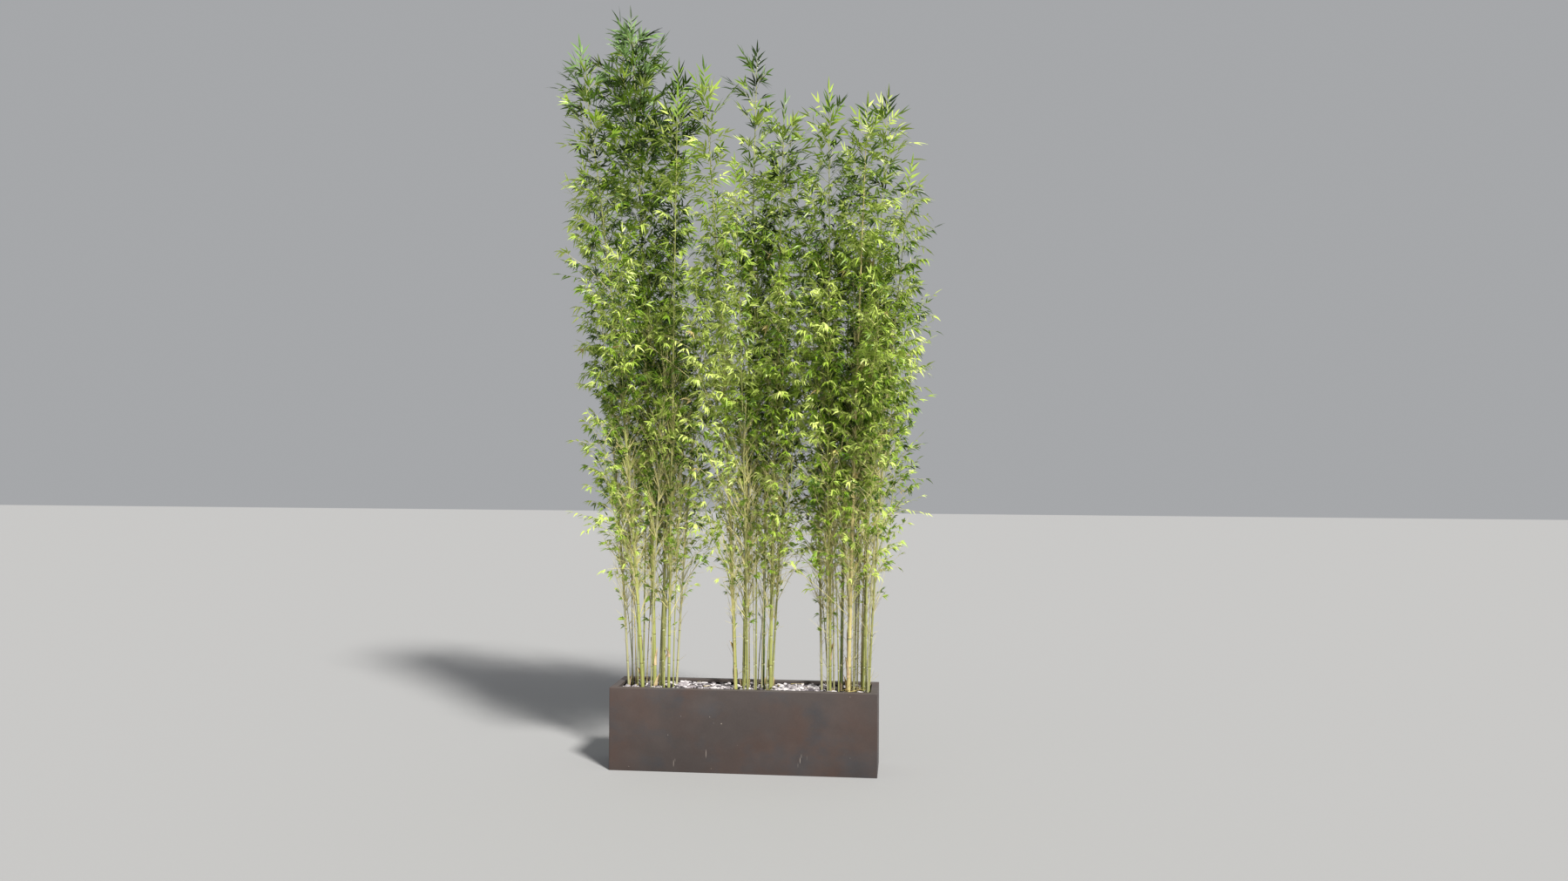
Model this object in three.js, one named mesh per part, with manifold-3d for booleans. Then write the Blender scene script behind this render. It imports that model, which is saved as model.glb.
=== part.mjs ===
// Potted bamboo: a long steel trough of soil under slate chips, with three clumps of upright bamboo.
// Millimetres, +Z up. The origin is the middle of the trough's flat underside and +X runs along its length.
// Each culm stands on the soil and is one tapering solid. Each mass of foliage is one solid too: a stem with
// twigs and leaves that branch by a seeded rule, and it meets its culm with a hairline gap.
import * as THREE from "three";
import { ConvexGeometry } from "three/addons/geometries/ConvexGeometry.js";
import { mergeVertices } from "three/addons/utils/BufferGeometryUtils.js";
import Module from "manifold-3d";

const wasm = await Module();
wasm.setup();

// The trough is folded from sheet, with a level lip turned in along its rim and a short hem under the lip.
const GAP = 0.3; // between pieces that touch
const TROUGH = { length: 1300, depth: 320, height: 400, sheet: 3, lip: 35, hem: 14 };
const SOIL_TOP = 340;
const CHIPS = { under_lip: 380, low: 383, high: 399, columns: 10, rows: 5, seed: 7 };

// A culm flares a little at its foot and bows outwards as it rises.
const CULM = { sides: 6, steps: 6, bow: 0.45, flare: 1.25, flare_height: 25, tip_share: 0.16 };
// A leaf stands for a small spray, so it is larger than life.
const LEAF = { length: 195, width: 42, thickness: 4.2, widest_at: 0.3, root_depth: 5, side_depth: 2.5 };
const TWIG = { root: 4.4, tip: 4, longest: 150, shortest: 50, spacing: 135, least_rise: 0.75, most_rise: 1.1 };
const STEM = { sides: 4, steps: 4, root: 7, tip: 5, length: 780, first_rise: 58, last_rise: 86, clear: 28 };
const FAN = { spread: 0.7, droop: 0.4, tumble: 1.2, left_back: 0.2, right_back: 0.45, least: 0.8, most: 1.1 };
const SIDE_FROM = { low: 0.2, high: 0.45 }; // share of a tall culm's height where its side masses leave it
const TOP_FROM = { tall: 0.72, slight: 0.55 }; // share of the culm's height where its top mass takes over
const TOP_STEPS = 3;
const CREST_FROM = 0.9; // share of a stem's length that its last fan of leaves grows from
const ATTEMPTS = 12; // directions tried for a twig before it is left out
const CLEAR = 2.5; // least way between a leaf or twig and anything of another node
const SAMPLING = 9; // spacing of the points where that is looked at
const FORK_REACH = 60; // how far from its fork a mass may come nearer its own culm than that
const BEARINGS = 36; // directions tried for a side stem
const ROOM_ENOUGH = 230; // a side stem gains nothing from more room than this
const FIRST_SEED = 101;

// foot: where the culm leaves the soil. tip: where its highest leaf ends. girth: how thick it is at its foot.
// A tall culm has two side masses as well as the one at its top.
const CLUMPS = {
  left: [
    { foot: [-460, 10], tip: [-612, 60, 3830], girth: 21, tall: true },
    { foot: [-508, -45], tip: [-800, -170, 3600], girth: 18, tall: true },
    { foot: [-430, 45], tip: [-405, 220, 3610], girth: 18, tall: true },
    { foot: [-383, -30], tip: [-324, -215, 3335], girth: 15 },
    { foot: [-361, 55], tip: [-225, 330, 2900], girth: 12 },
    { foot: [-592, 15], tip: [-870, 160, 3090], girth: 12 },
  ],
  middle: [
    { foot: [-48, -25], tip: [-191, -190, 3470], girth: 19, tall: true },
    { foot: [-16, 30], tip: [16, 140, 3660], girth: 19, tall: true },
    { foot: [15, -60], tip: [-20, -335, 2960], girth: 13 },
    { foot: [79, 35], tip: [75, 345, 3150], girth: 15 },
    { foot: [120, -20], tip: [184, -120, 3320], girth: 18, tall: true },
    { foot: [118, 75], tip: [270, 300, 2820], girth: 12 },
  ],
  right: [
    { foot: [372, 20], tip: [285, 120, 3000], girth: 12 },
    { foot: [415, -10], tip: [410, -225, 3335], girth: 15, tall: true },
    { foot: [466, 40], tip: [500, 245, 3210], girth: 17, tall: true },
    { foot: [505, -45], tip: [590, -260, 3250], girth: 21, tall: true },
    { foot: [573, 25], tip: [680, 60, 3390], girth: 16, tall: true },
    { foot: [602, -30], tip: [790, -130, 2990], girth: 12 },
  ],
};

const COLOURS = {
  trough: { color: 0x4a403c, roughness: 0.55, metalness: 0.5 },
  soil: { color: 0x2b211a, roughness: 1, metalness: 0 },
  slate_mulch: { color: 0x8d868c, roughness: 0.85, metalness: 0 },
  culm: { color: 0x8d9a4c, roughness: 0.45, metalness: 0 },
  foliage: { color: 0x6f9a2f, roughness: 0.6, metalness: 0 },
};

const UP = new THREE.Vector3(0, 0, 1);
const ACROSS = new THREE.Vector3(1, 0, 0);

// A repeatable run of numbers from 0 to 1.
function seeded(seed) {
  let state = seed;
  return () => {
    state = (state * 48271) % 2147483647;
    return state / 2147483647;
  };
}

// A closed three.js geometry as a solid that can be joined and cut.
function solidOf(geometry) {
  const plain = geometry.clone();
  plain.deleteAttribute("normal");
  plain.deleteAttribute("uv");
  const merged = mergeVertices(plain, 1e-3);
  const vertProperties = new Float32Array(merged.attributes.position.array);
  const triVerts = new Uint32Array(merged.index.array);
  return new wasm.Manifold(new wasm.Mesh({ numProp: 3, vertProperties, triVerts }));
}

function joined(solids) {
  return solids.reduce((whole, solid) => whole.add(solid));
}

function largestPiece(solid) {
  return solid.decompose().reduce((best, piece) => (piece.volume() > best.volume() ? piece : best));
}

function meshOf(name, solid, look) {
  const data = solid.getMesh();
  const geometry = new THREE.BufferGeometry();
  geometry.setAttribute("position", new THREE.BufferAttribute(new Float32Array(data.vertProperties), 3));
  geometry.setIndex(new THREE.BufferAttribute(new Uint32Array(data.triVerts), 1));
  geometry.computeVertexNormals();
  const mesh = new THREE.Mesh(geometry, new THREE.MeshStandardMaterial(COLOURS[look]));
  mesh.name = name;
  return mesh;
}

function block(length, depth, low, high) {
  const box = new THREE.BoxGeometry(length, depth, high - low);
  return solidOf(box.translate(0, 0, (low + high) / 2));
}

// A tapering limb: a many-stepped cylinder with its rings moved on to an axis. They lie flat unless a side is given.
function limb(axis, radius, sides, steps, across) {
  const tube = new THREE.CylinderGeometry(1, 1, 1, sides, steps);
  const places = tube.attributes.position;
  const local = new THREE.Vector3();
  for (let i = 0; i < places.count; i++) {
    local.fromBufferAttribute(places, i);
    const share = local.y + 0.5;
    const along = across ? tangent(axis, share) : UP;
    const side = across ? squared(across, along) : ACROSS;
    const other = new THREE.Vector3().crossVectors(side, along);
    const size = radius(share);
    const centre = axis(share);
    centre.addScaledVector(side, local.x * size).addScaledVector(other, local.z * size);
    places.setXYZ(i, centre.x, centre.y, centre.z);
  }
  return solidOf(tube);
}

// The part of a direction that is square to another one.
function squared(direction, along) {
  return direction.clone().addScaledVector(along, -direction.dot(along)).normalize();
}

function tangent(axis, share) {
  const step = 0.01;
  const before = axis(Math.max(0, share - step));
  return axis(Math.min(1, share + step)).sub(before).normalize();
}

function sampled(axis, steps) {
  return Array.from({ length: steps + 1 }, (_, i) => axis(i / steps));
}

// The shortest way from a point to a path of straight stretches.
const stretch = new THREE.Line3();
const nearest = new THREE.Vector3();
function wayTo(path, point) {
  let least = Infinity;
  for (let i = 1; i < path.length; i++) {
    stretch.set(path[i - 1], path[i]).closestPointToPoint(point, true, nearest);
    least = Math.min(least, nearest.distanceTo(point));
  }
  return least;
}

function trough() {
  const { length, depth, height, sheet, lip, hem } = TROUGH;
  const mouth = [length - 2 * lip, depth - 2 * lip];
  const hemLine = [mouth[0] + 2 * sheet, mouth[1] + 2 * sheet];
  const shell = block(length, depth, 0, height);
  const body = block(length - 2 * sheet, depth - 2 * sheet, sheet, height - sheet);
  const hemRing = block(...hemLine, height - hem, height).subtract(block(...mouth, 0, height + 1));
  return shell
    .subtract(body)
    .subtract(block(...mouth, height / 2, height + 1))
    .add(hemRing);
}

function soil() {
  const inset = TROUGH.sheet + GAP;
  return block(TROUGH.length - 2 * inset, TROUGH.depth - 2 * inset, inset, SOIL_TOP);
}

// The bed of slate chips: low under the lip, rough inside the mouth, and pierced by the culms.
function slateMulch(culms) {
  const { columns, rows, low, high, under_lip, seed } = CHIPS;
  const inset = TROUGH.sheet + GAP;
  const border = TROUGH.lip + 2 * GAP - inset;
  const bed = new THREE.BoxGeometry(1, 1, 1, columns, rows, 1);
  const places = bed.attributes.position;
  const random = seeded(seed);
  const heights = Array.from({ length: (columns + 1) * (rows + 1) }, () => low + random() * (high - low));
  const spread = (index, most, size) => {
    const atRim = index === 0 || index === most;
    return atRim ? (index / most - 0.5) * size : ((index - 1) / (most - 2) - 0.5) * (size - 2 * border);
  };
  for (let i = 0; i < places.count; i++) {
    const column = Math.round((places.getX(i) + 0.5) * columns);
    const row = Math.round((places.getY(i) + 0.5) * rows);
    const x = spread(column, columns, TROUGH.length - 2 * inset);
    const y = spread(row, rows, TROUGH.depth - 2 * inset);
    const inMouth = column > 1 && column < columns - 1 && row > 1 && row < rows - 1;
    const top = inMouth ? heights[row * (columns + 1) + column] : under_lip;
    places.setXYZ(i, x, y, places.getZ(i) > 0 ? top : SOIL_TOP + GAP);
  }
  return largestPiece(culms.reduce((rest, culm) => rest.subtract(culm.hole), solidOf(bed)));
}

// A culm's axis leans more towards its top. Its second ring ends the flare of the foot.
function culmOf(name, plan) {
  const foot = new THREE.Vector3(...plan.foot, SOIL_TOP + GAP);
  const tip = new THREE.Vector3(...plan.tip);
  tip.z -= LEAF.length - LEAF.root_depth;
  const height = tip.z - foot.z;
  const axis = (share) => {
    const lean = share * (1 - CULM.bow) + share * share * CULM.bow;
    const point = new THREE.Vector3().lerpVectors(foot, tip, lean);
    point.z = foot.z + height * share;
    return point;
  };
  const radius = (share) => {
    const flare = Math.max(0, 1 - (share * height) / CULM.flare_height) * (CULM.flare - 1);
    return (plan.girth / 2) * (1 - (1 - CULM.tip_share) * share) * (1 + flare);
  };
  const end = plan.tall ? TOP_FROM.tall : TOP_FROM.slight;
  const first = CULM.flare_height / height;
  const pace = (share) => {
    const step = share * CULM.steps;
    return step <= 1 ? step * first : first + ((end - first) * (step - 1)) / (CULM.steps - 1);
  };
  const grown = (extra) => limb((s) => axis(pace(s)), (s) => radius(pace(s)) + extra, CULM.sides, CULM.steps);
  const path = sampled((s) => axis(s * end), CULM.steps);
  const hole = grown(GAP / Math.cos(Math.PI / CULM.sides));
  return { name, plan, axis, radius, end, height, path, hole, solid: grown(0) };
}

// The mass at a culm's top carries its axis on to the tip.
function topMass(culm) {
  const from = culm.end + GAP / culm.height;
  const axis = (share) => culm.axis(from + (1 - from) * share);
  const radius = (share) => Math.max(STEM.tip, culm.radius(from + (1 - from) * share));
  const stem = limb(axis, radius, CULM.sides, TOP_STEPS);
  return { name: `foliage_${culm.name}_top`, culm, axis, stem, path: sampled(axis, TOP_STEPS) };
}

// A side stem leaves its culm slanting and turns upright, on the bearing with the most room.
function sideMass(culm, level, others) {
  const start = culm.axis(SIDE_FROM[level]);
  let best = { room: 0 };
  for (let i = 0; i < BEARINGS; i++) {
    const bearing = (i / BEARINGS) * Math.PI * 2;
    const axis = sideAxis(start, bearing);
    const path = sampled(axis, STEM.steps);
    const roomAt = (point) => Math.min(ROOM_ENOUGH, ...others.map((other) => wayTo(other, point)));
    const rooms = path.slice(1).map(roomAt);
    const room = Math.min(...rooms) < STEM.clear ? 0 : rooms.reduce((sum, each) => sum + each);
    if (room > best.room) best = { room, bearing, axis, path };
  }
  if (!best.room) throw new Error(`no way out for the ${level} stem of ${culm.name}`);
  const radius = (share) => STEM.root + (STEM.tip - STEM.root) * share;
  const across = new THREE.Vector3(-Math.sin(best.bearing), Math.cos(best.bearing), 0);
  const stem = limb(best.axis, radius, STEM.sides, STEM.steps, across);
  return { name: `foliage_${culm.name}_${level}`, culm, axis: best.axis, stem, path: best.path };
}

function sideAxis(start, bearing) {
  const points = [start.clone()];
  const piece = STEM.length / STEM.steps;
  for (let i = 0; i < STEM.steps; i++) {
    const share = i / (STEM.steps - 1);
    const rise = THREE.MathUtils.degToRad(STEM.first_rise + (STEM.last_rise - STEM.first_rise) * share);
    const way = new THREE.Vector3(Math.cos(bearing), Math.sin(bearing), 0).multiplyScalar(Math.cos(rise));
    way.z = Math.sin(rise);
    points.push(points[i].clone().addScaledVector(way, piece));
  }
  return (share) => {
    const index = Math.min(Math.floor(share * STEM.steps), STEM.steps - 1);
    return points[index].clone().lerp(points[index + 1], share * STEM.steps - index);
  };
}

// A three-sided twig is the hull of its two ends, with one corner on the upper side of its fan of leaves.
function twig(root, tip, face) {
  const along = tip.clone().sub(root).normalize();
  const corners = [0, 1, 2].map((i) => face.clone().applyAxisAngle(along, (i / 3) * Math.PI * 2));
  const ring = (centre, radius) => corners.map((corner) => centre.clone().addScaledVector(corner, radius));
  return solidOf(new ConvexGeometry([...ring(root, TWIG.root), ...ring(tip, TWIG.tip)]));
}

// A leaf is folded along a keel from its base to its tip, and its two widest points stand above the keel.
function leaf({ base, way, face, length, width }) {
  const across = new THREE.Vector3().crossVectors(face, way).normalize();
  const widest = base.clone().addScaledVector(way, length * LEAF.widest_at);
  widest.addScaledVector(face, LEAF.thickness);
  const side = (half) => widest.clone().addScaledVector(across, half * width);
  const tip = base.clone().addScaledVector(way, length);
  return solidOf(new ConvexGeometry([base, side(-0.5), side(0.5), tip]));
}

// Whether a straight piece is nearer its own mass's stem than any other, and clear of every culm.
function keepsSpace(mass, from, to, halfWidth) {
  const steps = Math.ceil(from.distanceTo(to) / SAMPLING);
  for (let i = 0; i <= steps; i++) {
    const point = from.clone().lerp(to, i / steps);
    const room = halfWidth(i / steps) + CLEAR;
    const atItsFork = (culm) => culm === mass.culm && point.distanceTo(mass.path[0]) < FORK_REACH;
    const touches = (culm) => !atItsFork(culm) && wayTo(culm.path, point) < culm.plan.girth / 2 + room;
    const own = wayTo(mass.path, point);
    const strays = (other) => other !== mass && wayTo(other.path, point) - own < 2 * room;
    if (culms.some(touches) || masses.some(strays)) return false;
  }
  return true;
}

// Three leaves at a twig's end, one straight on and one to each side, tumbled by the seeded rule.
function fanOf(root, tip, random) {
  const along = tip.clone().sub(root).normalize();
  const upwards = squared(along.z > 0.99 ? ACROSS : UP, along);
  const face = upwards.applyAxisAngle(along, (random() - 0.5) * FAN.tumble);
  const length = tip.distanceTo(root);
  const leaves = [0, 1, -1].map((side) => {
    const back = [LEAF.root_depth, length * FAN.left_back, length * FAN.right_back].at(side);
    const size = side ? FAN.least + (FAN.most - FAN.least) * random() : 1;
    const way = along.clone().applyAxisAngle(face, side * FAN.spread * size);
    way.z -= FAN.droop * random() * Math.abs(side);
    way.normalize();
    const base = tip.clone().addScaledVector(along, -back);
    if (side) base.addScaledVector(way, -LEAF.side_depth);
    return { base, way, face: squared(face, way), length: LEAF.length * size, width: LEAF.width * size };
  });
  return { face, leaves };
}

function leafKeeps(mass, plan) {
  const tip = plan.base.clone().addScaledVector(plan.way, plan.length);
  const widening = (share) => Math.min(share / LEAF.widest_at, (1 - share) / (1 - LEAF.widest_at));
  const halfWidth = (share) => (plan.width / 2) * widening(share);
  return tip.z < mass.culm.plan.tip[2] + 1 && keepsSpace(mass, plan.base, tip, halfWidth);
}

// A twig with its fan, or nothing where fewer than two of its leaves keep to the mass's space.
function spray(mass, root, tip, random) {
  const fan = fanOf(root, tip, random);
  const leaves = fan.leaves.filter((plan) => leafKeeps(mass, plan));
  const keeps = leaves.length > 1 && keepsSpace(mass, root, tip, () => TWIG.root);
  return keeps ? [twig(root, tip, fan.face), ...leaves.map(leaf)] : [];
}

// Twigs climb the stem by the golden angle and shorten towards its tip. One without room tries other sides.
function grow(mass, seed) {
  const random = seeded(seed);
  const goldenAngle = Math.PI * (3 - Math.sqrt(5));
  const twigs = Math.round(mass.path[0].distanceTo(mass.path.at(-1)) / TWIG.spacing);
  const crest = fanOf(mass.axis(CREST_FROM), mass.axis(1), random);
  const pieces = [mass.stem, ...crest.leaves.filter((plan) => leafKeeps(mass, plan)).map(leaf)];
  let turn = random() * Math.PI * 2;
  for (let i = 1; i < twigs; i++) {
    const root = mass.axis(i / twigs);
    const along = tangent(mass.axis, i / twigs);
    const longest = TWIG.longest + (TWIG.shortest - TWIG.longest) * (i / twigs);
    turn += goldenAngle;
    let found = [];
    for (let attempt = 0; attempt < ATTEMPTS && !found.length; attempt++) {
      const bearing = turn + (attempt / ATTEMPTS) * Math.PI * 2;
      const length = Math.max(TWIG.shortest, longest * (1 - 0.5 * random()));
      const way = squared(new THREE.Vector3(Math.cos(bearing), Math.sin(bearing), 0), along);
      way.addScaledVector(along, TWIG.least_rise + (TWIG.most_rise - TWIG.least_rise) * random()).normalize();
      found = spray(mass, root, root.clone().addScaledVector(way, length), random);
    }
    pieces.push(...found);
  }
  return largestPiece(joined(pieces).subtract(mass.culm.hole));
}

const culms = Object.entries(CLUMPS).flatMap(([clump, plans]) =>
  plans.map((plan, i) => culmOf(`${clump}_${i + 1}`, plan)),
);
const masses = culms.map(topMass);
for (const level of Object.keys(SIDE_FROM)) {
  for (const culm of culms.filter((each) => each.plan.tall)) {
    const others = [...culms.filter((each) => each !== culm), ...masses].map((each) => each.path);
    masses.push(sideMass(culm, level, others));
  }
}

const bamboo = new THREE.Group();
bamboo.name = "potted_bamboo";
bamboo.add(meshOf("trough", trough(), "trough"));
bamboo.add(meshOf("soil", soil(), "soil"));
bamboo.add(meshOf("slate_mulch", slateMulch(culms), "slate_mulch"));
for (const culm of culms) bamboo.add(meshOf(`culm_${culm.name}`, culm.solid, "culm"));
masses.forEach((mass, i) => bamboo.add(meshOf(mass.name, grow(mass, FIRST_SEED + i), "foliage")));

export default bamboo;
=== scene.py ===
"""A stand of bamboo in a long steel trough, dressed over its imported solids.

Each piece has an operator of its own. The culms, twigs and leaves grow by the same seeded rule as the
solids do, and go on to finer twigs and to leaves of natural size. Sizes in the growing rules are in
millimetres, and the meshes are in metres.
"""
import math

import bpy
import numpy as np
from bpy.props import FloatProperty, FloatVectorProperty, IntProperty, PointerProperty
from mathutils import Matrix, Quaternion, Vector, noise


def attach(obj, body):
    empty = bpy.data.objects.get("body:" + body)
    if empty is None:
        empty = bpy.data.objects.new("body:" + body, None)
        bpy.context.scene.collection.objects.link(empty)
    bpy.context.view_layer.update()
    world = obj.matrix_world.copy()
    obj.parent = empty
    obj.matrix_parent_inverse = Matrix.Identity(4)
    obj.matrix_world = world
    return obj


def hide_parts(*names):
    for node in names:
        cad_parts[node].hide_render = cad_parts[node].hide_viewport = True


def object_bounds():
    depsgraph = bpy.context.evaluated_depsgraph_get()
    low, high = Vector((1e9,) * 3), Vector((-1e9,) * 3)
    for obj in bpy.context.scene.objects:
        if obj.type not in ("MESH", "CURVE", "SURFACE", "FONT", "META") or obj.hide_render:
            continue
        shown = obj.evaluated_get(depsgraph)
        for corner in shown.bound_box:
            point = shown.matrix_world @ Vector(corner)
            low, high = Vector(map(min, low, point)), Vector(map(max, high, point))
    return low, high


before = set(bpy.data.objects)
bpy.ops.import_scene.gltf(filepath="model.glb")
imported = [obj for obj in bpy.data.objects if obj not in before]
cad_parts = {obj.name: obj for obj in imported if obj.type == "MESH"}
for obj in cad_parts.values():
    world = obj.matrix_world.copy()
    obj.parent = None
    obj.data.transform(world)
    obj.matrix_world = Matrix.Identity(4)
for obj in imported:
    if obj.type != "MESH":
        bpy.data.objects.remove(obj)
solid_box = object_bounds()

bl_info = {
    "name": "Potted bamboo",
    "version": (1, 0, 0),
    "blender": (4, 5, 0),
    "location": "View3D > Sidebar > Bamboo",
    "description": "Makes a steel trough of bamboo with its slate mulch, culms, twigs and leaves",
    "category": "Object",
}

MM = 0.001
UP = Vector((0, 0, 1))
ACROSS = Vector((1, 0, 0))
FULL_TURN = 2 * math.pi
GOLDEN_ANGLE = math.pi * (3 - math.sqrt(5))
SEEDS = {
    "growth": 101,
    "slight canes": 611,
    "finer growth": 3001,
    "chips": 4077,
    "joints": 90210,
    "sheaths": 5150,
    "fallen leaves": 733,
}

# The trough and its soil, as in the solids.
GAP = 0.3
TROUGH = {"length": 1300, "depth": 320, "height": 400, "sheet": 3, "lip": 35, "hem": 14}
INSIDE = TROUGH["sheet"] + GAP
SOIL_TOP = 340

# The growing rule of the solids.
CULM = {"steps": 6, "bow": 0.45, "tip_share": 0.16}
LEAF = {"length": 195, "width": 42, "widest_at": 0.3, "root_depth": 5, "side_depth": 2.5}
TWIG = {"root": 4.4, "longest": 150, "shortest": 50, "spacing": 135, "least_rise": 0.75, "most_rise": 1.1}
STEM = {"steps": 4, "length": 780, "first_rise": 58, "last_rise": 86, "clear": 28}
FAN = {"spread": 0.7, "droop": 0.4, "tumble": 1.2, "least": 0.8, "most": 1.1, "backs": (0.2, 0.45)}
SIDE_FROM = {"low": 0.2, "high": 0.45}
TOP_FROM = {True: 0.72, False: 0.55}
TOP_STEPS = 3
CREST_FROM = 0.9
ATTEMPTS = 12
CLEAR = 2.5
SAMPLING = 9
FORK_REACH = 60
BEARINGS = 36
ROOM_ENOUGH = 230

# Each culm: its foot, the point of its highest leaf, its girth, whether it is tall, and its skin.
CLUMPS = {
    "left": [
        ((-460, 10), (-612, 60, 3830), 21, True, "green"),
        ((-508, -45), (-800, -170, 3600), 18, True, "green"),
        ((-430, 45), (-405, 220, 3610), 18, True, "olive"),
        ((-383, -30), (-324, -215, 3335), 15, False, "green"),
        ((-361, 55), (-225, 330, 2900), 12, False, "grey"),
        ((-592, 15), (-870, 160, 3090), 12, False, "grey"),
    ],
    "middle": [
        ((-48, -25), (-191, -190, 3470), 19, True, "green"),
        ((-16, 30), (16, 140, 3660), 19, True, "green"),
        ((15, -60), (-20, -335, 2960), 13, False, "olive"),
        ((79, 35), (75, 345, 3150), 15, False, "dark"),
        ((120, -20), (184, -120, 3320), 18, True, "green"),
        ((118, 75), (270, 300, 2820), 12, False, "olive"),
    ],
    "right": [
        ((372, 20), (285, 120, 3000), 12, False, "grey"),
        ((415, -10), (410, -225, 3335), 15, True, "green"),
        ((466, 40), (500, 245, 3210), 17, True, "dark"),
        ((505, -45), (590, -260, 3250), 21, True, "straw"),
        ((573, 25), (680, 60, 3390), 16, True, "green"),
        ((602, -30), (790, -130, 2990), 12, False, "olive"),
    ],
}

# The slight canes that the solids leave out. In the right clump most of them stand at its right end.
SHOOT_COUNTS = {"left": 11, "middle": 8, "right": 18}
SHOOT_CROWDING = {"left": 1, "middle": 1, "right": 0.45}
SHOOT_SKINS = ("straw", "grey", "olive", "green", "grey")
SHOOT = {
    "shortest": 700,
    "tallest": 2400,
    "least_girth": 4.5,
    "more_girth": 4.5,
    "taper": 0.75,
    "depth": 80,
    "apart": 9,
    "lean": 0.7,
    "bend": 1.7,
    "sway_x": 160,
    "sway_y": 240,
    "leafy": 0.7,
}

# The bed of chips: the levels of the bed under it, painted dark as shade, and of its lowest chips, and the
# limits of its heaping.
BED = {"grit": 370, "lowest": 372, "layers": 14, "heap": 4, "top": 397.5, "lean": 26, "clear": 9}
SLATES = ("pale", "middling", "dark")
SLATE_LIMITS = (0.44, 0.78)

# The looks of a cane's faces. Each ring round a node has its place above the node, how far it stands
# out in radii, and the look of the face above it, or none for the cane's own skin.
SKINS = ("green", "olive", "grey", "dark", "straw")
CANE_LOOKS = SKINS + ("bloom", "scar")
NODE_RINGS = (
    (-11, 0.99, "bloom"),
    (-2.6, 1.0, "scar"),
    (-1.7, 1.09, "scar"),
    (-0.7, 1.08, "scar"),
    (0.1, 0.96, None),
    (3.0, 1.1, None),
    (6.0, 1.07, None),
    (13.0, 1.0, None),
)
FOOT_RINGS = ((0.0, 1.28), (10, 1.1), (28, 1.0))

# The heights over which the foliage changes, from one that has none of a change to one that has all.
ZONES = {
    "first branches": (520, 1120),
    "full leaf": (880, 1850),
    "lit low leaves": (1000, 1900),
    "wide sprays": (1100, 2000),
    "larger leaves": (1000, 2400),
    "largest leaves": (2400, 3400),
    "spires": (2650, 3150),
    "thin crown": (2800, 3100),
    "open sky": (3050, 3450),
}

# The radii of the limbs at their roots and at their ends.
LIMBS = {
    "side stem": (2.6, 0.9),
    "twig": (1.5, 0.9),
    "spray": (0.85, 0.5),
    "bare": (0.8, 0.4),
    "offshoot": (0.8, 0.5),
    "straw": (1.15, 0.5),
    "long": (2.1, 0.9),
    "leader": (1.3, 0.5),
    "spur": (0.9, 0.3),
}
BRANCH_END = 0.7

# The leafy branches: those between the twigs of the masses, and the pairs at the nodes of the canes.
MASS_BRANCH = {"spacing": 18.5, "radius": 1.2, "light": 0.12}
NODE_BRANCH = {"spacing": 58, "radius": 1.5, "light": 0.1, "fullness": 0.8}
BRANCH_SPREAD = {True: 230, False: 170}
SHOOT_SPREAD = 120
NARROWING = {"low": {True: 0.35}, "high": {True: 0.5}, "top": {True: 0.76, False: 0.62}}
STRAW_TWIGS = {"from": 700, "to": 2100, "pairs": 2}
LONG_BRANCH = {"leaves": 9, "depth": 0.6, "within": 640}
LONG_COUNTS = {True: 13, False: 7}
LEADER_LEAVES = 6

# How much lighter or darker and how much fuller the foliage of some canes is, and how late it narrows.
CHARACTER = {
    "left_1": (-0.11, 1.65, 1.7),
    "left_2": (-0.11, 0.95, 1),
    "left_3": (-0.05, 0.95, 1),
    "left_4": (0.02, 0.55, 1),
    "left_5": (-0.03, 1, 1),
    "middle_1": (0.14, 0.7, 1),
    "middle_2": (0.12, 0.7, 1),
    "middle_3": (0.1, 0.8, 1),
    "middle_4": (0.12, 1, 1),
    "middle_5": (0.05, 1.15, 2),
    "right_1": (-0.03, 0.8, 1),
    "right_2": (-0.08, 1.0, 1),
    "right_4": (-0.1, 1.0, 1),
    "right_5": (-0.08, 0.9, 1.5),
}
PLAIN_CHARACTER = (0, 1, 1)

LEAF_PIECES = 3
# The leaf colours run from lit to shaded tones of the leaf green: the paler steps hold painted light and a
# painted sheen, and the darker ones painted shade. They also vary at random as real leaves do.
LEAF_COLOURS = ("lime", "bright", "fresh", "middle", "deep", "shade", "blue", "dry")
COLOUR_STEPS = ((0.66, "lime"), (0.53, "bright"), (0.4, "fresh"), (0.27, "middle"), (0.12, "deep"))
TWIG_COLOURS = ("twig_green", "twig_straw", "twig_dead")
GREEN, STRAW, DEAD = range(3)
DRY_SPRAYS = {"share": 0.008, "below": 2500}
BLUE_SPIRE = {"left_of": -380, "from": 3250, "over": 450}

# A leaf's outline as shares of its length, its width and its width again for the fold on its midrib.
LEAF_OUTLINE = (
    (0.0, 0.0, 0.0),
    (0.2, 0.5, 0.12),
    (0.2, 0.0, 0.0),
    (0.2, -0.5, 0.12),
    (0.58, 0.36, 0.1),
    (0.58, 0.0, 0.0),
    (0.58, -0.36, 0.1),
    (1.0, 0.0, 0.0),
)
LEAF_FACES = ((0, 2, 1), (0, 3, 2), (1, 2, 5, 4), (2, 3, 6, 5), (4, 5, 7), (5, 6, 7))
DRAWN_BACK = 0.35
FALLEN = {"count": 30, "anywhere": 14, "from_x": 505, "to_x": 580, "end_clear": 90, "side_clear": 70}

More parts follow.
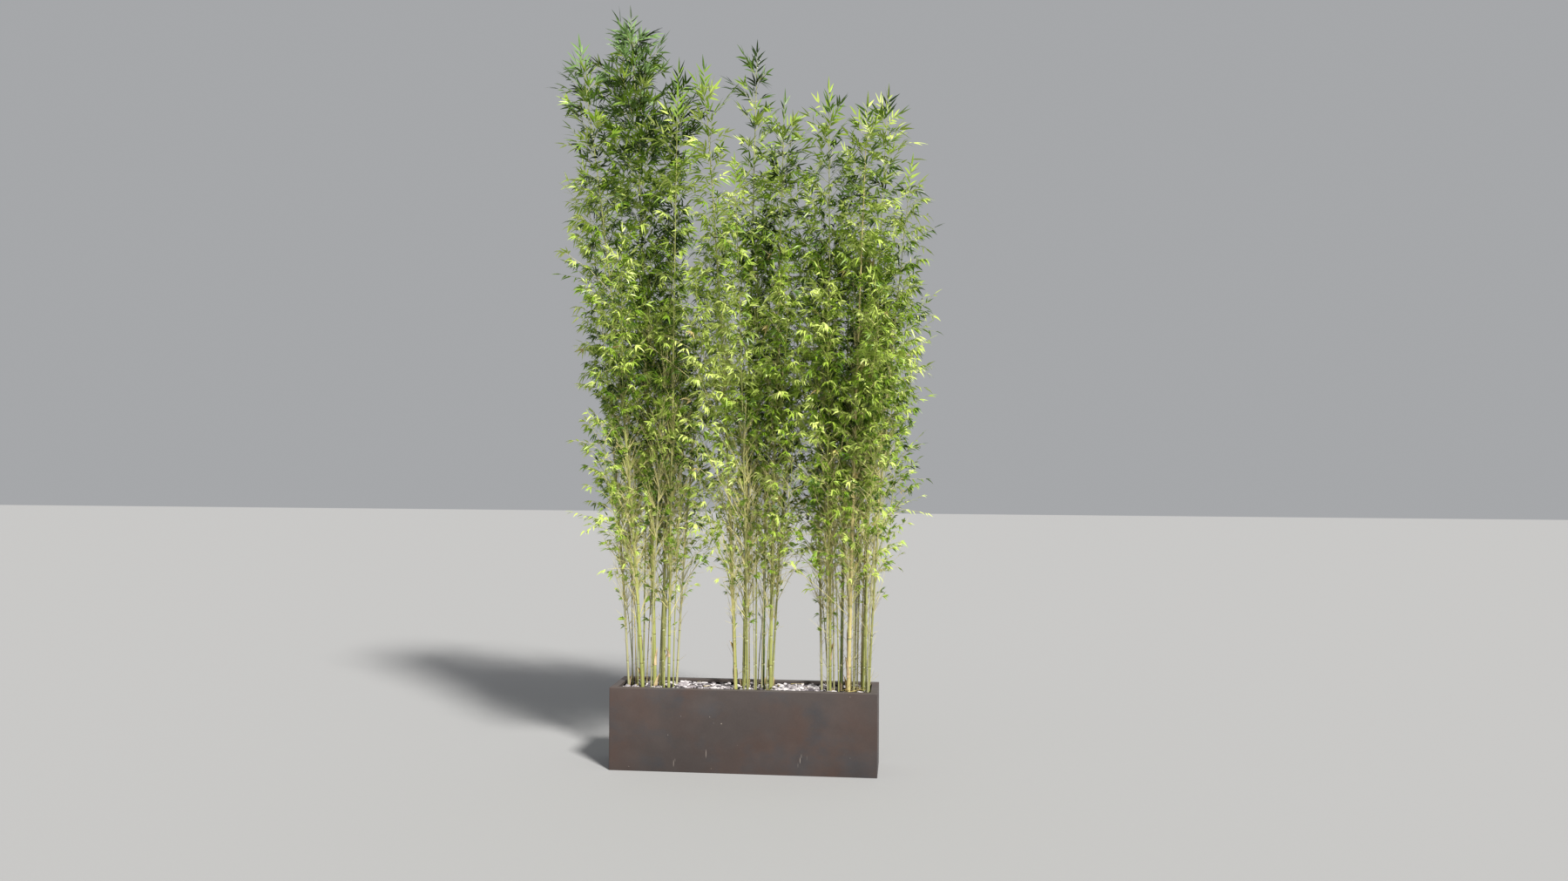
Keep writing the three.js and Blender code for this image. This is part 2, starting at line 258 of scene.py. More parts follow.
# Scratches and spots on the trough's front: where, how wide and tall in metres, and how strong.
STEEL_MARKS = (
    (-0.173, 0.093, 0.0016, 0.024, 0.8),
    (-0.331, 0.042, 0.002, 0.02, 0.5),
    (-0.324, 0.058, 0.0012, 0.01, 0.4),
    (0.282, 0.074, 0.0018, 0.018, 0.75),
    (0.288, 0.094, 0.0014, 0.012, 0.55),
    (0.272, 0.05, 0.0012, 0.012, 0.4),
    (0.315, 0.088, 0.001, 0.014, 0.25),
    (-0.099, 0.2385, 0.0035, 0.003, 0.9),
    (-0.156, 0.269, 0.0024, 0.0024, 0.7),
    (-0.297, 0.269, 0.002, 0.0024, 0.5),
    (-0.36, 0.177, 0.002, 0.003, 0.6),
    (-0.137, 0.24, 0.002, 0.002, 0.5),
    (-0.551, 0.021, 0.003, 0.002, 0.5),
    (-0.147, 0.022, 0.003, 0.002, 0.5),
    (-0.021, 0.137, 0.0016, 0.0016, 0.4),
    (0.521, 0.092, 0.0016, 0.003, 0.35),
)
MARK_DEPTH = 0.02
FOOT_SHADE = (0.68, 0.67, 0.67)
RIM = {"from": 0.3972, "to": 0.3996, "wear": 0.06}

# Each pattern: the width of its patches in metres, its detail, its roughness, the two values between
# which the patches come in, and how much less tall than wide they are.
PATTERNS = {
    "rust clouds": (0.3, 3, 0.5, 0.42, 0.64, 1),
    "cool clouds": (0.21, 4, 0.6, 0.5, 0.68, 1.3),
    "pale veil": (0.26, 2, 0.45, 0.44, 0.7, 1.5),
    "small clouds": (0.07, 6, 0.62, 0.35, 0.72, 1),
    "steel grain": (0.006, 3, 0.6, 0.4, 0.75, 1),
    "spotted places": (0.11, 1, 0.5, 0.6, 0.64, 1),
    "steel gloss": (0.09, 5, 0.6, 0.3, 0.75, 1),
    "soil crumbs": (0.012, 6, 0.7, 0.3, 0.75, 1),
    "grit crumbs": (0.01, 6, 0.7, 0.3, 0.75, 1),
    "slate layers": (0.02, 4, 0.6, 0.3, 0.72, 3),
    "slate gloss": (0.01, 3, 0.5, 0.3, 0.7, 1),
    "cane streaks": (0.008, 4, 0.6, 0.32, 0.7, 0.06),
    "cane clouds": (0.16, 3, 0.5, 0.42, 0.66, 1),
    "cane blotches": (0.018, 3, 0.6, 0.64, 0.72, 0.4),
    "cane gloss": (0.05, 3, 0.5, 0.3, 0.7, 1),
    "node bloom": (0.01, 3, 0.6, 0.4, 0.62, 1),
    "node bark": (0.004, 3, 0.6, 0.35, 0.7, 1),
    "sheath veins": (0.003, 3, 0.6, 0.35, 0.7, 0.05),
    "sheath stains": (0.02, 4, 0.6, 0.52, 0.7, 1),
    "leaf gloss": (0.04, 2, 0.5, 0.35, 0.65, 1),
    "dry mottle": (0.01, 3, 0.6, 0.35, 0.7, 1),
}

# Each relief: the width of its patches, detail, roughness and flatness, then its strength and depth.
RELIEF = {
    "steel": (0.004, 4, 0.6, 1, 0.18, 0.0006),
    "soil": (0.008, 6, 0.7, 1, 0.9, 0.004),
    "grit": (0.006, 5, 0.7, 1, 0.9, 0.004),
    "slate": (0.005, 4, 0.6, 1, 0.35, 0.001),
    "cane": (0.003, 3, 0.6, 0.1, 0.15, 0.0004),
    "sheath": (0.002, 2, 0.5, 0.08, 0.4, 0.0005),
}

FLOOR_HALF = 30
SUN = {"strength": 6.1, "width": 9, "colour": (1.0, 0.98, 0.93), "aim": (-3.0, 4.0, -4.4)}
SKY = {"strength": 0.4, "colour": (0.95, 0.97, 1.0, 1)}
SENSOR_WIDTH = 36


def paint(red, green, blue):
    """A colour given as three display values of 0 to 255, as Blender's linear colour."""

    def linear(value):
        share = value / 255
        return share / 12.92 if share <= 0.04045 else ((share + 0.055) / 1.055) ** 2.4

    return (linear(red), linear(green), linear(blue))


BLOTCH = paint(120, 104, 66)
STAIN = paint(128, 92, 58)


# The settings of each group of pieces.


def colour_setting(label, words, *display):
    return FloatVectorProperty(
        name=label, description=words, subtype="COLOR", size=3, min=0, max=1, default=paint(*display)
    )


def size_setting(label, words, metres):
    return FloatProperty(name=label, description=words, unit="LENGTH", min=0, default=metres)


def angle_setting(label, words, degrees):
    return FloatProperty(
        name=label, description=words, subtype="ANGLE", unit="ROTATION", default=math.radians(degrees)
    )


class BambooTroughSettings(bpy.types.PropertyGroup):
    """The steel trough and its finish."""

    corner: size_setting("Corner radius", "Outside radius of the folded corners", 0.003)
    sway: size_setting("Sheet sway", "How far the long walls are drawn in between their edges", 0.0022)
    steel: colour_setting("Steel", "The patina's main brown", 71, 64, 62)
    rust: colour_setting("Warm patch", "Reddish brown patches of the patina", 79, 63, 57)
    slate_grey: colour_setting("Cool patch", "Grey patches of the patina", 60, 63, 68)
    worn: colour_setting("Worn edge", "Pale wear along the lip and in the scratches", 150, 140, 132)


class BambooSlateSettings(bpy.types.PropertyGroup):
    """The chips of slate and the soil under them."""

    chips: IntProperty(
        name="Chips", description="Chips tried, those that the canes leave no room for among them",
        min=50, max=3000, default=1250,
    )
    shortest: size_setting("Shortest chip", "Length of the smallest chips", 0.02)
    longest: size_setting("Longest chip", "Length of the largest chips", 0.05)
    pale: colour_setting("Pale slate", "Lightest chips", 210, 204, 206)
    middling: colour_setting("Middling slate", "Chips between the two others", 158, 151, 155)
    # The dark slate also gives the colour of the bed under the chips, darkened there as painted shade.
    dark: colour_setting("Dark slate", "Darkest chips, and the grit under them", 88, 82, 87)
    soil: colour_setting("Soil", "Moist potting soil between and under the chips", 44, 34, 28)


class BambooCulmSettings(bpy.types.PropertyGroup):
    """The canes and their skins."""

    shortest_joint: size_setting("Shortest joint", "Space between two nodes at the foot", 0.07)
    longest_joint: size_setting("Longest joint", "Space between two nodes at half height", 0.2)
    green: colour_setting("Green cane", "Skin of most of the canes", 154, 158, 90)
    olive: colour_setting("Olive cane", "Skin of the olive canes", 142, 144, 88)
    grey: colour_setting("Grey cane", "Skin of the grey canes", 164, 162, 122)
    dark: colour_setting("Dark cane", "Skin of the dark green canes", 92, 108, 50)
    straw: colour_setting("Straw cane", "Skin of the straw coloured canes", 192, 178, 122)
    scar: colour_setting("Node scar", "Dark line where a sheath was", 104, 94, 58)
    bloom: colour_setting("Node bloom", "Pale waxy band below each node", 190, 194, 150)
    sheath: colour_setting("Sheath", "Dry papery sheaths near the foot", 206, 184, 142)


class BambooFoliageSettings(bpy.types.PropertyGroup):
    """The twigs and leaves."""

    leaf_length: size_setting("Leaf length", "Length of a full leaf", 0.084)
    leaf_width: size_setting("Leaf width", "Width of a full leaf", 0.0116)
    fill: FloatProperty(
        name="Fill", description="Share of the finer branches that grow", min=0, max=2, default=1
    )
    # Painted light and shade: lime and bright are also the lit tones of the leaf green with a painted
    # sheen, and deep and shade its shaded tones, besides the real spread of the leaves' colour.
    lime: colour_setting("Lime leaves", "Youngest leaves, at the outside of the crown", 194, 209, 112)
    bright: colour_setting("Bright leaves", "Yellow green leaves", 176, 195, 92)
    fresh: colour_setting("Fresh leaves", "Clear green leaves", 150, 175, 64)
    middle: colour_setting("Middle leaves", "Leaves of a middle green", 114, 145, 34)
    deep: colour_setting("Deep leaves", "Older leaves", 68, 98, 13)
    shade: colour_setting("Shade leaves", "Leaves inside the crown", 32, 54, 4)
    blue: colour_setting("Blue green leaves", "Leaves of the tallest spire", 124, 156, 90)
    dry: colour_setting("Dry leaves", "A few tan leaves", 188, 170, 108)
    twig_green: colour_setting("Green twigs", "Young twigs", 152, 162, 78)
    twig_straw: colour_setting("Straw twigs", "Yellowish twigs of the bare zone", 204, 196, 132)
    twig_dead: colour_setting("Dead twigs", "Short dry spurs at the feet of the canes", 150, 134, 96)


class BambooStageSettings(bpy.types.PropertyGroup):
    """The floor and the camera."""

    floor: colour_setting("Floor", "Plain pale floor", 160, 160, 161)
    lens: FloatProperty(name="Lens", description="Focal length in millimetres", min=10, max=200, default=28)
    place: FloatVectorProperty(
        name="Camera", description="Where the camera stands", subtype="TRANSLATION", unit="LENGTH", size=3,
        default=(0.789, -5.991, 1.5),
    )
    heading: angle_setting("Heading", "Turn of the camera to the left of +Y", 5.8)
    pitch: angle_setting("Pitch", "How far the camera looks up", 1.0)
    roll: angle_setting("Roll", "Turn about the line of sight", 0.31)


# The growing rule.


def seeded(seed):
    """A repeatable run of numbers from 0 to 1."""
    state = [seed]

    def draw():
        state[0] = state[0] * 48271 % 2147483647
        return state[0] / 2147483647

    return draw


def mix(low, high, share):
    return low + (high - low) * share


def either_way(draw):
    """A drawn number from -1 to 1."""
    return draw() * 2 - 1


def ramp(value, low, high):
    """0 below a low value, 1 above a high one, and even between them."""
    return min(1, max(0, (value - low) / (high - low)))


def of_clump(clump, things):
    return [thing for thing in things if thing.clump == clump]


def squared(direction, along):
    """The part of a direction that is square to another one."""
    return (direction - along * direction.dot(along)).normalized()


def turned(vector, axis, angle):
    return Quaternion(axis, angle) @ vector


def tangent(axis, share):
    before = axis(max(0, share - 0.01))
    return (axis(min(1, share + 0.01)) - before).normalized()


def outwards(bearing):
    """The level direction on a bearing."""
    return Vector((math.cos(bearing), math.sin(bearing), 0))


def slanted(bearing, rise, depth=1):
    """The direction that rises from a bearing, made less deep from front to back by a share."""
    level = math.cos(rise)
    return Vector((math.cos(bearing) * level, depth * math.sin(bearing) * level, math.sin(rise)))


def upwards(along):
    """A direction to set a face by: up, but not for a limb that goes straight up itself."""
    return ACROSS if along.z > 0.99 else UP


def ways_to(paths, points):
    """The shortest way from each point to each path of straight stretches, as a table."""
    starts = np.array([stop for path in paths for stop in path[:-1]])
    spans = np.array([stop for path in paths for stop in path[1:]]) - starts
    firsts = np.cumsum([0] + [len(path) - 1 for path in paths[:-1]])
    apart = points[:, None, :] - starts[None]
    share = np.clip((apart * spans).sum(2) / (spans * spans).sum(1), 0, 1)
    gaps = np.linalg.norm(apart - share[:, :, None] * spans, axis=2)
    return np.minimum.reduceat(gaps, firsts, axis=1)


class Culm:
    """One cane: its axis, its radius and the path that its neighbours keep clear of."""

    def __init__(self, clump, number, plan):
        (x, y), tip, self.girth, self.tall, self.skin = plan
        self.clump = clump
        self.name = f"{clump}_{number}"
        self.foot = Vector((x, y, SOIL_TOP + GAP))
        self.top = tip[2]
        self.tip = Vector(tip) - UP * (LEAF["length"] - LEAF["root_depth"])
        self.height = self.tip.z - self.foot.z
        self.end = TOP_FROM[self.tall]
        self.path = [self.axis(i / CULM["steps"] * self.end) for i in range(CULM["steps"] + 1)]

    def axis(self, share):
        lean = share * (1 - CULM["bow"]) + share * share * CULM["bow"]
        point = self.foot.lerp(self.tip, lean)
        point.z = self.foot.z + self.height * share
        return point

    def radius(self, share):
        return self.girth / 2 * (1 - (1 - CULM["tip_share"]) * share)


class Mass:
    """One mass of foliage: the axis of its stem, and the twigs and leaves that the solids have."""

    def __init__(self, culm, level, axis, steps):
        self.culm = culm
        self.clump = culm.clump
        self.level = level
        self.axis = axis
        self.path = [axis(i / steps) for i in range(steps + 1)]
        self.sprays = []
        self.crest = []

    def length(self):
        return (self.path[-1] - self.path[0]).length


def side_axis(start, bearing):
    points = [start]
    for i in range(STEM["steps"]):
        rise = math.radians(mix(STEM["first_rise"], STEM["last_rise"], i / (STEM["steps"] - 1)))
        points.append(points[i] + slanted(bearing, rise) * STEM["length"] / STEM["steps"])

    def axis(share):
        index = min(int(share * STEM["steps"]), STEM["steps"] - 1)
        return points[index].lerp(points[index + 1], share * STEM["steps"] - index)

    return axis


def side_mass(culm, level, others):
    """The side stem on the bearing with the most room."""
    start = culm.axis(SIDE_FROM[level])
    best, best_room = None, 0
    for i in range(BEARINGS):
        mass = Mass(culm, level, side_axis(start, i / BEARINGS * FULL_TURN), STEM["steps"])
        rooms = np.minimum(ways_to(others, np.array(mass.path[1:])).min(1), ROOM_ENOUGH)
        room = 0 if rooms.min() < STEM["clear"] else rooms.sum()
        if room > best_room:
            best, best_room = mass, room
    return best


class Stand:
    """All the culms and masses, grown once and shared by the operators."""

    def __init__(self):
        self.culms = [
            Culm(clump, i + 1, plan) for clump, plans in CLUMPS.items() for i, plan in enumerate(plans)
        ]
        self.masses = [self.top_mass(culm) for culm in self.culms]
        for level in SIDE_FROM:
            for culm in self.culms:
                if culm.tall:
                    paths = [each.path for each in self.culms if each is not culm]
                    paths += [mass.path for mass in self.masses]
                    self.masses.append(side_mass(culm, level, paths))
        self.paths = [mass.path for mass in self.masses]
        self.stands = [culm.path for culm in self.culms]
        self.girths = np.array([culm.girth / 2 for culm in self.culms])
        for i in range(len(self.masses)):
            self.grow(i, seeded(SEEDS["growth"] + i))

    @staticmethod
    def top_mass(culm):
        begin = culm.end + GAP / culm.height
        return Mass(culm, "top", lambda share: culm.axis(mix(begin, 1, share)), TOP_STEPS)

    def keeps_space(self, index, start, end, half_width):
        """Whether a straight piece is nearer its own stem than any other, and clear of every culm."""
        mass = self.masses[index]
        steps = math.ceil((end - start).length / SAMPLING)
        shares = np.arange(steps + 1) / steps
        points = np.array(start) + shares[:, None] * np.array(end - start)
        room = half_width(shares) + CLEAR
        to_culms = ways_to(self.stands, points)
        at_fork = np.linalg.norm(points - np.array(mass.path[0]), axis=1) < FORK_REACH
        to_culms[at_fork, self.culms.index(mass.culm)] = np.inf
        if (to_culms < self.girths + room[:, None]).any():
            return False
        to_masses = ways_to(self.paths, points)
        nearest_own = to_masses[:, index].copy()
        to_masses[:, index] = np.inf
        return not (to_masses.min(1) - nearest_own < 2 * room).any()

    def leaf_keeps(self, index, leaf):
        base, way, _, length, width = leaf
        tip = base + way * length
        if tip.z >= self.masses[index].culm.top + 1:
            return False

        def half_width(share):
            return width / 2 * np.minimum(share / LEAF["widest_at"], (1 - share) / (1 - LEAF["widest_at"]))

        return self.keeps_space(index, base, tip, half_width)

    def fan_kept(self, index, root, tip, draw):
        return [leaf for leaf in fan_of(root, tip, draw) if self.leaf_keeps(index, leaf)]

    def grow(self, index, draw):
        mass = self.masses[index]
        twigs = round(mass.length() / TWIG["spacing"])
        mass.crest = self.fan_kept(index, mass.axis(CREST_FROM), mass.axis(1), draw)
        turn = draw() * FULL_TURN
        for i in range(1, twigs):
            share = i / twigs
            root = mass.axis(share)
            along = tangent(mass.axis, share)
            longest = mix(TWIG["longest"], TWIG["shortest"], share)
            turn += GOLDEN_ANGLE
            for attempt in range(ATTEMPTS):
                length = max(TWIG["shortest"], longest * (1 - 0.5 * draw()))
                way = squared(outwards(turn + attempt / ATTEMPTS * FULL_TURN), along)
                rise = mix(TWIG["least_rise"], TWIG["most_rise"], draw())
                tip = root + (way + along * rise).normalized() * length
                kept = self.fan_kept(index, root, tip, draw)
                if len(kept) > 1 and self.keeps_space(index, root, tip, twig_half_width):
                    mass.sprays.append((root, tip, kept))
                    break


def twig_half_width(share):
    """A twig of the solids is as wide all along as at its root."""
    return share * 0 + TWIG["root"]


def fan_of(root, tip, draw):
    """Three leaves at a twig's end, one straight on and one to each side.

    Each is its base, its way, the way its face looks, its length and its width.
    """
    along = (tip - root).normalized()
    face = turned(squared(upwards(along), along), along, (draw() - 0.5) * FAN["tumble"])
    length = (tip - root).length
    left_back, right_back = FAN["backs"]
    leaves = []
    for side, back in ((0, LEAF["root_depth"]), (1, length * left_back), (-1, length * right_back)):
        size = mix(FAN["least"], FAN["most"], draw()) if side else 1
        way = turned(along, face, side * FAN["spread"] * size)
        way.z -= FAN["droop"] * draw() * abs(side)
        way.normalize()
        base = tip - along * back
        if side:
            base -= way * LEAF["side_depth"]
        leaves.append((base, way, squared(face, way), LEAF["length"] * size, LEAF["width"] * size))
    return leaves


class Shoot:
    """A slight cane that stands among the others and ends in the foliage."""

    def __init__(self, clump, draw, low, high):
        self.clump = clump
        share = draw() ** SHOOT_CROWDING[clump]
        depth = mix(-SHOOT["depth"], SHOOT["depth"], draw())
        self.foot = Vector((mix(low, high, share), depth, SOIL_TOP + GAP))
        self.height = mix(SHOOT["shortest"], SHOOT["tallest"], draw())
        self.girth = SHOOT["least_girth"] + SHOOT["more_girth"] * self.height / SHOOT["tallest"]
        lean = (self.foot.x - (low + high) / 2) * SHOOT["lean"]
        self.over = Vector((lean + SHOOT["sway_x"] * (draw() - 0.5), SHOOT["sway_y"] * (draw() - 0.5), 0))
        self.skin = SHOOT_SKINS[int(draw() * len(SHOOT_SKINS))]
        self.leafy = draw() < SHOOT["leafy"]

    def axis(self, share):
        return self.foot + UP * self.height * share + self.over * share ** SHOOT["bend"]

    def radius(self, share):
        return self.girth / 2 * (1 - SHOOT["taper"] * share)


def shoots_of(stand):
    """The slight canes of every clump, none of them in another cane's place."""
    shoots = []
    for number, clump in enumerate(CLUMPS):
        draw = seeded(SEEDS["slight canes"] + number)
        canes = of_clump(clump, stand.culms)
        low, high = min(culm.foot.x for culm in canes), max(culm.foot.x for culm in canes)
        wanted = SHOOT_COUNTS[clump] + len(shoots)
        while len(shoots) < wanted:
            shoot = Shoot(clump, draw, low, high)
            others = canes + shoots
            if all((shoot.foot - other.foot).length > other.girth / 2 + SHOOT["apart"] for other in others):
                shoots.append(shoot)
    return shoots


STAND = Stand()
SHOOTS = shoots_of(STAND)


# Meshes and finishes.


def nodes_of(kind, clump):
    """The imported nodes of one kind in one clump."""
    return [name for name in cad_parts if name.startswith(f"{kind}_{clump}_")]


def new_piece(name, mesh, nodes):
    """An object that rides on the body and takes the place of solids."""
    piece = bpy.data.objects.new(name, mesh)
    bpy.context.scene.collection.objects.link(piece)
    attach(piece, "root")
    if nodes:
        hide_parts(*nodes)
    return piece


def mesh_of(name, points, faces, materials, looks=None, smooth=False):
    mesh = bpy.data.meshes.new(name)
    mesh.from_pydata(points, [], faces)
    for material in materials:
        mesh.materials.append(material)
    if looks is not None:
        mesh.polygons.foreach_set("material_index", np.asarray(looks, dtype=np.int32))
    if smooth:
        mesh.polygons.foreach_set("use_smooth", np.ones(len(mesh.polygons), dtype=bool))
    mesh.update()
    return mesh


def ring_faces(bands, sides, start=0):
    """The faces of some bands between rings of points that follow each other."""
    faces = []
    for low in range(start, start + bands * sides, sides):
        high = low + sides
        for i in range(sides):
            j = (i + 1) % sides
            faces.append((low + i, low + j, high + j, high + i))
    return faces


def grid_faces(rows, columns, start=0):
    """The faces of a grid whose points follow each other row by row."""
    wide = columns + 1
    faces = []
    for row in range(rows):
        for low in range(start + row * wide, start + row * wide + columns):
            faces.append((low, low + 1, low + wide + 1, low + wide))
    return faces


def shaded(colour, share):
    """A colour made darker or lighter by a factor."""
    return tuple(min(1.0, part * share) for part in colour)


class Finish:
    """A Principled material under construction, whose colour is covered layer by layer."""

    def __init__(self, name, colour, roughness, specular=0.5):
        self.material = bpy.data.materials.new(name)
        self.material.use_nodes = True
        self.nodes = self.material.node_tree.nodes
        self.links = self.material.node_tree.links
        self.shader = self.nodes["Principled BSDF"]
        self.plain = self.colour = tuple(colour)
        inputs = {"Base Color": self.plain, "Roughness": roughness, "Specular IOR Level": specular}
        self.feed(self.shader, inputs)

    def feed(self, node, inputs):
        """Give a node its inputs, each a value or another node's output."""
        for key, value in inputs.items():
            socket = node.inputs[key]
            if isinstance(value, bpy.types.NodeSocket):
                self.links.new(value, socket)
            else:
                socket.default_value = (*value, 1) if socket.type == "RGBA" else value

    def add(self, kind, inputs, **options):
        node = self.nodes.new(kind)
        for key, value in options.items():
            setattr(node, key, value)
        self.feed(node, inputs)
        return node

    def place(self, scale=(1, 1, 1), shift=(0, 0, 0)):
        """Coordinates in metres, scaled and shifted."""
        source = self.add("ShaderNodeTexCoord", {})
        inputs = {"Vector": source.outputs["Object"], "Location": shift, "Scale": scale}
        return self.add("ShaderNodeMapping", inputs).outputs["Vector"]

    def span(self, value, low, high, start=0.0, end=1.0):
        """A start below a low value, an end above a high one, and even between them."""
        inputs = {"Value": value, "From Min": low, "From Max": high, "To Min": start, "To Max": end}
        return self.add("ShaderNodeMapRange", inputs).outputs["Result"]

    def times(self, first, second):
        return self.add("ShaderNodeMath", {0: first, 1: second}, operation="MULTIPLY").outputs["Value"]

    def noise(self, size, detail, roughness, flatness):
        """Soft noise whose patches are about as wide as size, and less tall by the flatness."""
        place = self.place((1, 1, flatness))
        inputs = {"Vector": place, "Scale": 1 / size, "Detail": detail, "Roughness": roughness}
        return self.add("ShaderNodeTexNoise", inputs).outputs["Fac"]

    def patches(self, pattern, start=0.0, end=1.0):
        size, detail, roughness, low, high, flatness = PATTERNS[pattern]
        return self.span(self.noise(size, detail, roughness, flatness), low, high, start, end)

    def spots(self, apart, radius):
        """Scattered soft spots, with a radius as a share of the space between them."""
        node = self.add("ShaderNodeTexVoronoi", {"Vector": self.place(), "Scale": 1 / apart})
        return self.span(node.outputs["Distance"], 0.0, radius, 1.0, 0.0)

    def mark(self, x, z, wide, tall, strength):
        """A small pale mark on the front, strong in its middle."""
        front = -TROUGH["depth"] * MM / 2
        place = self.place(
            (1 / wide, 1 / MARK_DEPTH, 1 / tall), (-x / wide, -front / MARK_DEPTH, -z / tall)
        )
        far = self.add("ShaderNodeVectorMath", {0: place}, operation="LENGTH")
        return self.span(far.outputs["Value"], 0.55, 1.0, strength, 0.0)

    def height(self, low, high, start=0.0, end=1.0):
        source = self.add("ShaderNodeTexCoord", {})
        split = self.add("ShaderNodeSeparateXYZ", {"Vector": source.outputs["Object"]})
        return self.span(split.outputs["Z"], low, high, start, end)

    def cover(self, share, colour, kind="MIX"):
        """Cover the colour so far by a share of another."""
        inputs = {"Factor": share, 6: self.colour, 7: colour}
        self.colour = self.add("ShaderNodeMix", inputs, data_type="RGBA", blend_type=kind).outputs[2]
        self.feed(self.shader, {"Base Color": self.colour})

    def layer(self, pattern, colour, strength=1.0):
        """Cover the colour so far where a pattern has its patches."""
        share = self.patches(pattern)
        self.cover(self.times(share, strength) if strength < 1 else share, colour)

    def tones(self, pattern, dark, pale):
        """Let the plain colour go from a darker to a paler tone by a pattern."""
        self.colour = shaded(self.plain, dark)
        self.layer(pattern, shaded(self.plain, pale))

    def gloss(self, pattern, least, most):
        """Let the roughness go from a least to a most by a pattern."""
        self.feed(self.shader, {"Roughness": self.patches(pattern, least, most)})

    def relief(self, kind):
        size, detail, roughness, flatness, strength, depth = RELIEF[kind]
        bumps = self.noise(size, detail, roughness, flatness)
        node = self.add("ShaderNodeBump", {"Height": bumps, "Strength": strength, "Distance": depth})
        self.feed(self.shader, {"Normal": node.outputs["Normal"]})


# The trough.


def half_trough(inset):
    """Half of the trough's length and of its depth, drawn in by an inset."""
    return TROUGH["length"] / 2 - inset, TROUGH["depth"] / 2 - inset


def trough_profile():
    """The wall's section, from the floor's outer edge round over the lip to the floor's inner edge."""
    high, sheet, lip, hem = TROUGH["height"], TROUGH["sheet"], TROUGH["lip"], TROUGH["hem"]
    fold = sheet * 0.9
    cut = fold * 0.3
    outside = [(cut, 0), (0, cut)]
    outside += [(0, high * i / 10) for i in range(1, 10)]
    outside += [(0, high - fold), (cut, high - cut), (fold, high)]
    top = [(lip * 0.5, high), (lip - fold, high), (lip - cut, high - cut), (lip, high - fold)]
    under = [(lip, high - hem), (lip - sheet, high - hem)]
    under += [(lip - sheet, high - sheet), (sheet, high - sheet)]
    inside = [(sheet, high * 0.5), (sheet, sheet)]
    return outside + top + under + inside


def rectangle(inset, corner):
    """A level outline of the trough, drawn in by an inset, with round corners and divided sides."""
    long_half, short_half = half_trough(inset)
    radius = max(0.4, corner - inset)
    outline = []
    for x_sign, y_sign, start in ((1, 1, 0), (-1, 1, 90), (-1, -1, 180), (1, -1, 270)):
        centre = (x_sign * (long_half - radius), y_sign * (short_half - radius))
        for i in range(4):
            angle = math.radians(start + i * 30)
            outline.append((centre[0] + radius * math.cos(angle), centre[1] + radius * math.sin(angle)))
        along_x = start in (0, 180)
        count = 26 if along_x else 7
        for i in range(1, count):
            share = 1 - 2 * (i / count)
            if along_x:
                outline.append(((long_half - radius) * x_sign * share, y_sign * short_half))
            else:
                outline.append((x_sign * long_half, (short_half - radius) * y_sign * share))
    return outline


def patinated_steel(settings):
    """Brown steel under soft clouds of rust, grey and paler brown, with a few worn places."""
    steel, worn = settings.steel, settings.worn
    finish = Finish("patinated_steel", steel, 0.5, 0.3)
    finish.layer("rust clouds", settings.rust)
    finish.layer("cool clouds", settings.slate_grey, 0.8)
    finish.layer("pale veil", shaded(steel, 1.5), 0.4)
    finish.layer("small clouds", shaded(steel, 0.7), 0.36)
    finish.layer("steel grain", shaded(steel, 1.5), 0.2)
    finish.cover(finish.height(0.0, TROUGH["height"] * MM, 1.0, 0.0), FOOT_SHADE, "MULTIPLY")
    finish.cover(finish.times(finish.spots(0.055, 0.05), finish.patches("spotted places")), worn)
    for mark in STEEL_MARKS:
        finish.cover(finish.mark(*mark), worn)
    finish.cover(finish.times(finish.height(RIM["from"], RIM["to"]), RIM["wear"]), worn)
    finish.gloss("steel gloss", 0.42, 0.66)
    finish.relief("steel")
    return finish.material


class BAMBOO_OT_trough(bpy.types.Operator):
    """Make the folded steel trough"""

    bl_idname = "bamboo.trough"
    bl_label = "Trough"

    def execute(self, context):
        settings = context.scene.bamboo_trough
        profile = trough_profile()
        loops = [rectangle(inset, settings.corner / MM) for inset, _ in profile]
        points = []
        for (inset, height), loop in zip(profile, loops):
            points += [self.swayed(x, y, height, inset, settings.sway / MM) for x, y in loop]
        count = len(loops[0])
        last = (len(profile) - 1) * count
        faces = ring_faces(len(profile) - 1, count)
        faces += [tuple(reversed(range(count))), tuple(range(last, last + count))]
        mesh = mesh_of("trough_sheet", points, faces, [patinated_steel(settings)])
        new_piece("steel_trough", mesh, ["trough"])
        return {"FINISHED"}

    @staticmethod
    def swayed(x, y, height, inset, sway):
        """A point of a wall, drawn in a little between the wall's edges as thin sheet is."""
        half_long, half_deep = half_trough(0)
        belly = math.sin(math.pi * height / TROUGH["height"])
        ripple = 0.75 + 0.5 * noise.noise(Vector((x / 260, height / 190, y / 160)))
        draw_in = sway * belly * ripple
        if abs(abs(y) - (half_deep - inset)) < 1:
            y -= math.copysign(draw_in * (1 - (x / half_long) ** 4), y)
        else:
            edge = (1 - (x / half_long) ** 8) * (1 - (y / half_deep) ** 8)
            x -= math.copysign(draw_in * 0.4 * edge, x)
        return (x * MM, y * MM, height * MM)


# The soil and the chips.


def bed_points(rows, columns, height):
    """A grid of points between the trough's walls, whose heights a rule gives."""
    half_long, half_deep = half_trough(INSIDE)
    points = []
    for row in range(rows + 1):
        for column in range(columns + 1):
            x, y = (column / columns * 2 - 1) * half_long, (row / rows * 2 - 1) * half_deep
            at_edge = row in (0, rows) or column in (0, columns)
            points.append((x * MM, y * MM, height(x, y, at_edge) * MM))
    return points


def soil_height(x, y, at_edge):
    crumb = 0 if at_edge else noise.noise(Vector((x / 30, y / 30, 4)))
    return SOIL_TOP - 3 + 3 * crumb


def shade_bed_height(x, y, at_edge):
    bump = noise.noise(Vector((x / 22, y / 22, 9))) + 0.6 * noise.noise(Vector((x / 9, y / 9, 1)))
    return BED["grit"] + 4 * bump


